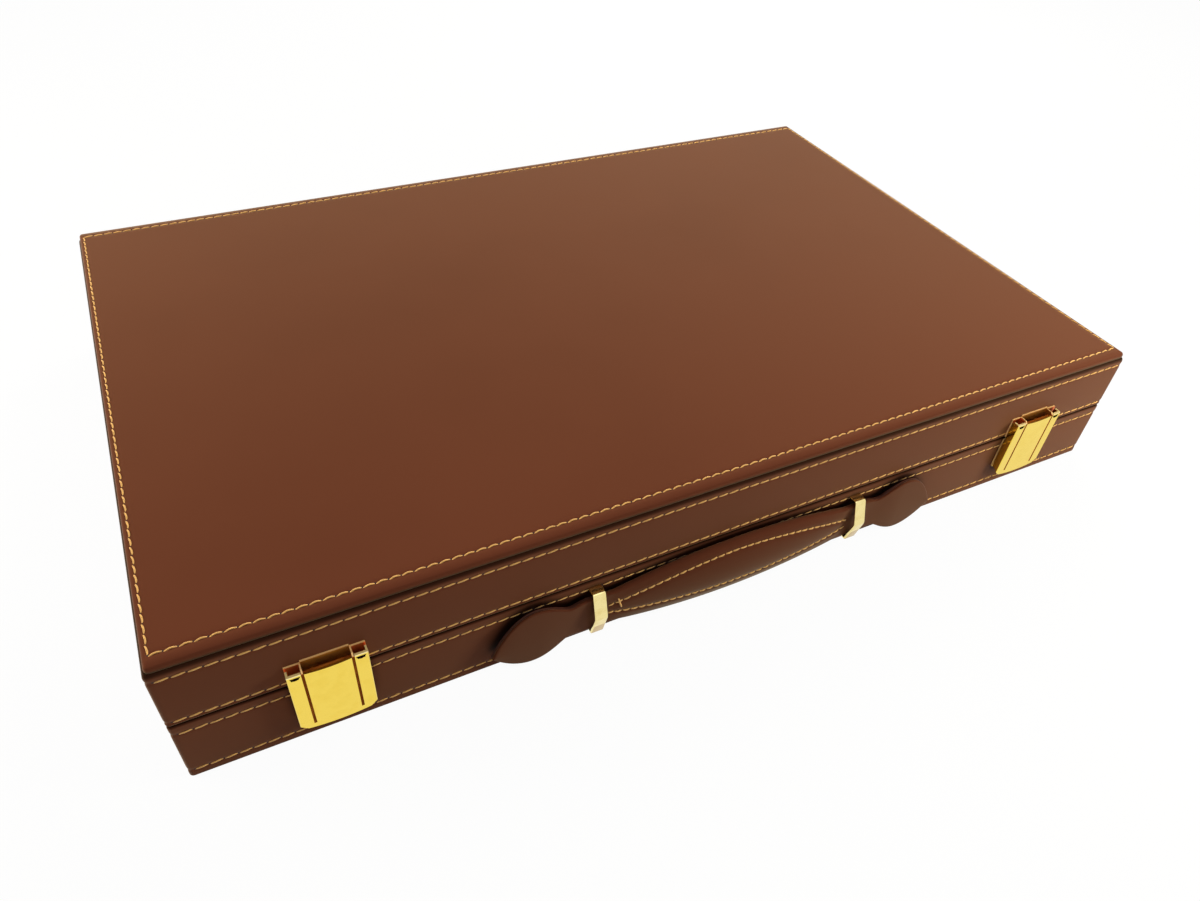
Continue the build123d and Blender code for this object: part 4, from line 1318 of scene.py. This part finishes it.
def addLatchDetails(name):  # painted shade: a dark amber floor in both slits, and a dark sheet over the notch under each strip's painted bright top
    low, high = mmBox(f"{name}_latch_lever")
    centre = (low.x + high.x) / 2
    front = frontY - latch["plateFront"]
    slitTop, notchTop, deep = high.z - latch["slitDrop"], high.z - latch["notchDrop"], latch["notchDeep"]
    bend = [math.radians(a) for a in range(latch["notchStep"], 180, latch["notchStep"])]
    notch = [(-1, 0), (1, 0)] + [(math.cos(a), -math.sin(a) ** latch["notchShape"]) for a in bend]
    slits, notches = [], []
    for side in (-1, 1):
        x, half, foot = centre + side * latch["slitCentre"], latch["slitHalf"], latch["slitFoot"]
        corners = ((x - half, foot), (x + half, foot), (x + half, slitTop), (x - half, slitTop))
        depths = (front + latch["recess"], frontY - latch["plateBack"])
        slits.append([[(a, y, z) for a, z in corners] for y in depths])
        x, half = centre + side * latch["notchCentre"], latch["notchHalf"]
        depths = (front - latch["notchLift"], front + latch["notchInto"])
        notches.append([[(x + a * half, y, notchTop + b * deep) for a, b in notch] for y in depths])
    settle(prisms(f"{name}LatchSlits", slits, "slitAmber"), f"{name}_lever", "latch_gold")
    settle(prisms(f"{name}LatchNotches", notches, "notchDark"), f"{name}_lever", "latch_gold")


for name in sides:
    addLatchDetails(name)
print("latch details are in place")


# Checkers, cups, dice and cube

checker = {"radius": 18.0, "thick": 7.8, "pitch": 8.0, "grooves": (7.0, 12.5), "depth": 0.7,
           "grooveWidth": 0.55, "dish": 0.5, "edge": 1.2, "faceSteps": 33, "edgeSteps": 5, "around": 48,
           "count": 15, "smooth": 35}


def checkerProfile():  # half a checker's face from its middle outwards, as (radius, height)
    half, edge, dish, steps = checker["thick"] / 2, checker["edge"], checker["dish"], checker["faceSteps"]
    flat = checker["radius"] - edge
    spots = [(0.0, half - dish)]
    for k in range(1, steps + 1):
        r = flat * k / steps
        dip = sum(math.exp(-(((r - g) / checker["grooveWidth"]) ** 2)) for g in checker["grooves"])
        spots.append((r, half - max(dip * checker["depth"], dish if r < checker["grooves"][0] else 0.0)))
    for k in range(1, checker["edgeSteps"] + 1):
        angle = math.pi / 2 * k / checker["edgeSteps"]
        spots.append((flat + edge * math.sin(angle), half - edge + edge * math.cos(angle)))
    return spots


def turnedChecker(name, material):  # one checker whose axis is X
    face = checkerProfile()
    line = face + [(r, -h) for r, h in reversed(face)]
    around = checker["around"]
    vertices = []
    for radius, height in line:
        r = max(radius, 0.001)
        for k in range(around):
            angle = 2 * math.pi * k / around
            vertices.append((height, r * math.cos(angle), r * math.sin(angle)))
    return meshObject(name, vertices, loopFaces(len(line), around, False), material, checker["smooth"])


def stackTree():  # copies of one piece in a row, each at its own turn
    tree, given, out = grower("pieceStack", {
        "Count": ("Int", 15),
        "Start": ("Vector", (0, 0, 0)),
        "Step": ("Vector", (8 * mm, 0, 0)),
        "Seed": ("Int", 2),
        "Material": ("Material", None),
    })
    row = {"Count": given["Count"], "Start Location": given["Start"], "Offset": given["Step"]}
    line = put(tree, "GeometryNodeMeshLine", row).outputs[0]
    spin = put(tree, "FunctionNodeRandomValue", {2: 0.0, 3: 2 * math.pi, "Seed": given["Seed"]}).outputs[1]
    solid = atPoints(tree, line, given["Geometry"], spotOf(tree, {0: spin}))
    tree.links.new(painted(tree, solid, given["Material"]), out["Geometry"])
    return tree


def addCheckers():
    stack = stackTree()
    for shade in ("dark", "light"):
        node, material = f"{shade}_checkers", f"{shade}Checker"
        low, high = mmBox(node)
        one = turnedChecker(f"{shade}Checkers", material)
        start = (low.x + checker["thick"] / 2, (low.y + high.y) / 2, (low.z + high.z) / 2)
        growWith(one, stack, Count=checker["count"], Start=[v * mm for v in start],
                 Step=(checker["pitch"] * mm, 0, 0), Seed=7, Material=paint[material])
        one.data.set_sharp_from_angle(angle=math.radians(checker["smooth"]))
        settle(one, "base", f"{shade}_checker", node)


die = {
    "size": 13.0,
    "pipRadius": 1.25,
    "pipSpread": 3.4,
    "pipLift": 0.01,
    # middle of each die's foot and its turn in degrees
    "spots": ((11.1, -101.1, 0), (-3.9, -101.1, 8), (11.1, -116.1, 0), (11.1, -131.1, 0)),
    # which number lies on top, front and right of each
    "faces": ((3, 1, 2), (5, 3, 6), (6, 2, 4), (1, 4, 5)),
}

pipCorners = [(-1, -1), (1, 1), (-1, 1), (1, -1)]
pipLayouts = {
    1: [(0, 0)],
    2: pipCorners[:2],
    3: [(-1, -1), (0, 0), (1, 1)],
    4: pipCorners,
    5: pipCorners + [(0, 0)],
    6: pipCorners + [(-1, 0), (1, 0)],
}


def pipTree():  # a small flat disc at each point, facing the way stored there
    tree, given, out = grower("pips", {"Radius": ("Float", 1.2 * mm), "Material": ("Material", None)})
    turn = put(tree, "FunctionNodeAlignRotationToVector", {"Vector": storedWay(tree)}, axis="Z").outputs[0]
    ball = put(tree, "GeometryNodeMeshUVSphere", {"Segments": 14, "Rings": 6, "Radius": given["Radius"]})
    pressed = {"Geometry": ball.outputs[0], "Scale": (1, 1, 0.06)}
    flat = put(tree, "GeometryNodeTransform", pressed).outputs[0]
    solid = atPoints(tree, given["Geometry"], flat, turn)
    tree.links.new(painted(tree, solid, given["Material"]), out["Geometry"])
    return tree


def addPips():
    low, high = mmBox("dice")
    half = die["size"] / 2
    runs = []
    for (x, y, turn), numbers in zip(die["spots"], die["faces"]):
        place = Matrix.Translation((x, y, low.z + half)) @ Matrix.Rotation(math.radians(turn), 4, "Z")
        top, front, right = numbers
        ways = {top: "+Z", 7 - top: "-Z", front: "-Y", 7 - front: "+Y", right: "+X", 7 - right: "-X"}
        for number, way in ways.items():
            sign = 1 if way[0] == "+" else -1
            axis = "XYZ".index(way[1])
            normal = Vector([sign if k == axis else 0 for k in range(3)])
            first = Vector([1 if k == (axis + 1) % 3 else 0 for k in range(3)])
            second = normal.cross(first)
            for a, b in pipLayouts[number]:
                spot = normal * (half + die["pipLift"]) + (first * a + second * b) * die["pipSpread"]
                runs.append([(place @ spot, place.to_3x3() @ normal)])
    pips = pathObject("dicePips", runs)
    growWith(pips, pipTree(), Radius=die["pipRadius"] * mm, Material=paint["pipBlack"])
    settle(pips, "base", "ivory_dice")


cube = {
    "textSize": 12.0,
    "textThick": 0.05,
    # the way each face looks and which way is up on it
    "faces": {
        "64": ((0, 0, 1), (0, 1, 0)),
        "2": ((0, 0, -1), (0, 1, 0)),
        "4": ((0, -1, 0), (0, 0, 1)),
        "8": ((0, 1, 0), (0, 0, 1)),
        "16": ((1, 0, 0), (0, 0, 1)),
        "32": ((-1, 0, 0), (0, 0, 1)),
    },
}


def addCubeNumbers():  # the doubling cube's plain numbers, one on each face
    low, high = mmBox("doubling_cube")
    for text, (normal, up) in cube["faces"].items():
        curve = bpy.data.curves.new(f"number{text}", "FONT")
        curve.body = text
        curve.size = cube["textSize"] * mm
        curve.extrude = cube["textThick"] * mm
        curve.align_x = "CENTER"
        curve.align_y = "CENTER"
        made = bpy.data.objects.new(f"number{text}", curve)
        scene.collection.objects.link(made)
        graph = bpy.context.evaluated_depsgraph_get()
        data = bpy.data.meshes.new_from_object(made.evaluated_get(graph))
        bpy.data.objects.remove(made)
        n, u = Vector(normal), Vector(up)
        turn = Matrix((u.cross(n), u, n)).transposed().to_4x4()
        place = (low + high) / 2 + n * (high.x - low.x) / 2
        data.transform(Matrix.Translation(place * mm) @ turn)
        data.materials.clear()
        data.materials.append(paint["pipBlack"])
        number = bpy.data.objects.new(f"number{text}", data)
        scene.collection.objects.link(number)
        settle(number, "base", "ivory_dice")


cup = {"rowInset": 4.5, "ringSteps": 48, "ringTurn": 48.6}  # a row stops a little short of its start
cupStitches = {"Pitch": 3.6 * mm, "Dash": 2.9 * mm, "Thread": 0.3 * mm, "Rise": 0.05 * mm, "Bow": 0.03 * mm,
               "Slant": 0.04, "Uneven": 0.03, "Seed": 23}


def addCupTrim():  # two stitched rows round each dice cup
    for side in sides:
        low, high = mmBox(f"{side}_dice_cup")
        y, z, radius = (low.y + high.y) / 2, (low.z + high.z) / 2, (high.z - low.z) / 2
        runs = []
        for x in (low.x + cup["rowInset"], high.x - cup["rowInset"]):
            ring = []
            for k in range(cup["ringSteps"] + 1):
                angle = 2 * math.pi * k / cup["ringTurn"]
                way = (0, math.cos(angle), math.sin(angle))
                ring.append(((x, y + radius * way[1], z + radius * way[2]), way))
            runs.append(ring)
        settle(sew(f"{side}CupStitches", runs, cupStitches), "base", "cup_leather")


addCheckers()
addPips()
addCubeNumbers()
addCupTrim()
print("playing pieces are in place")
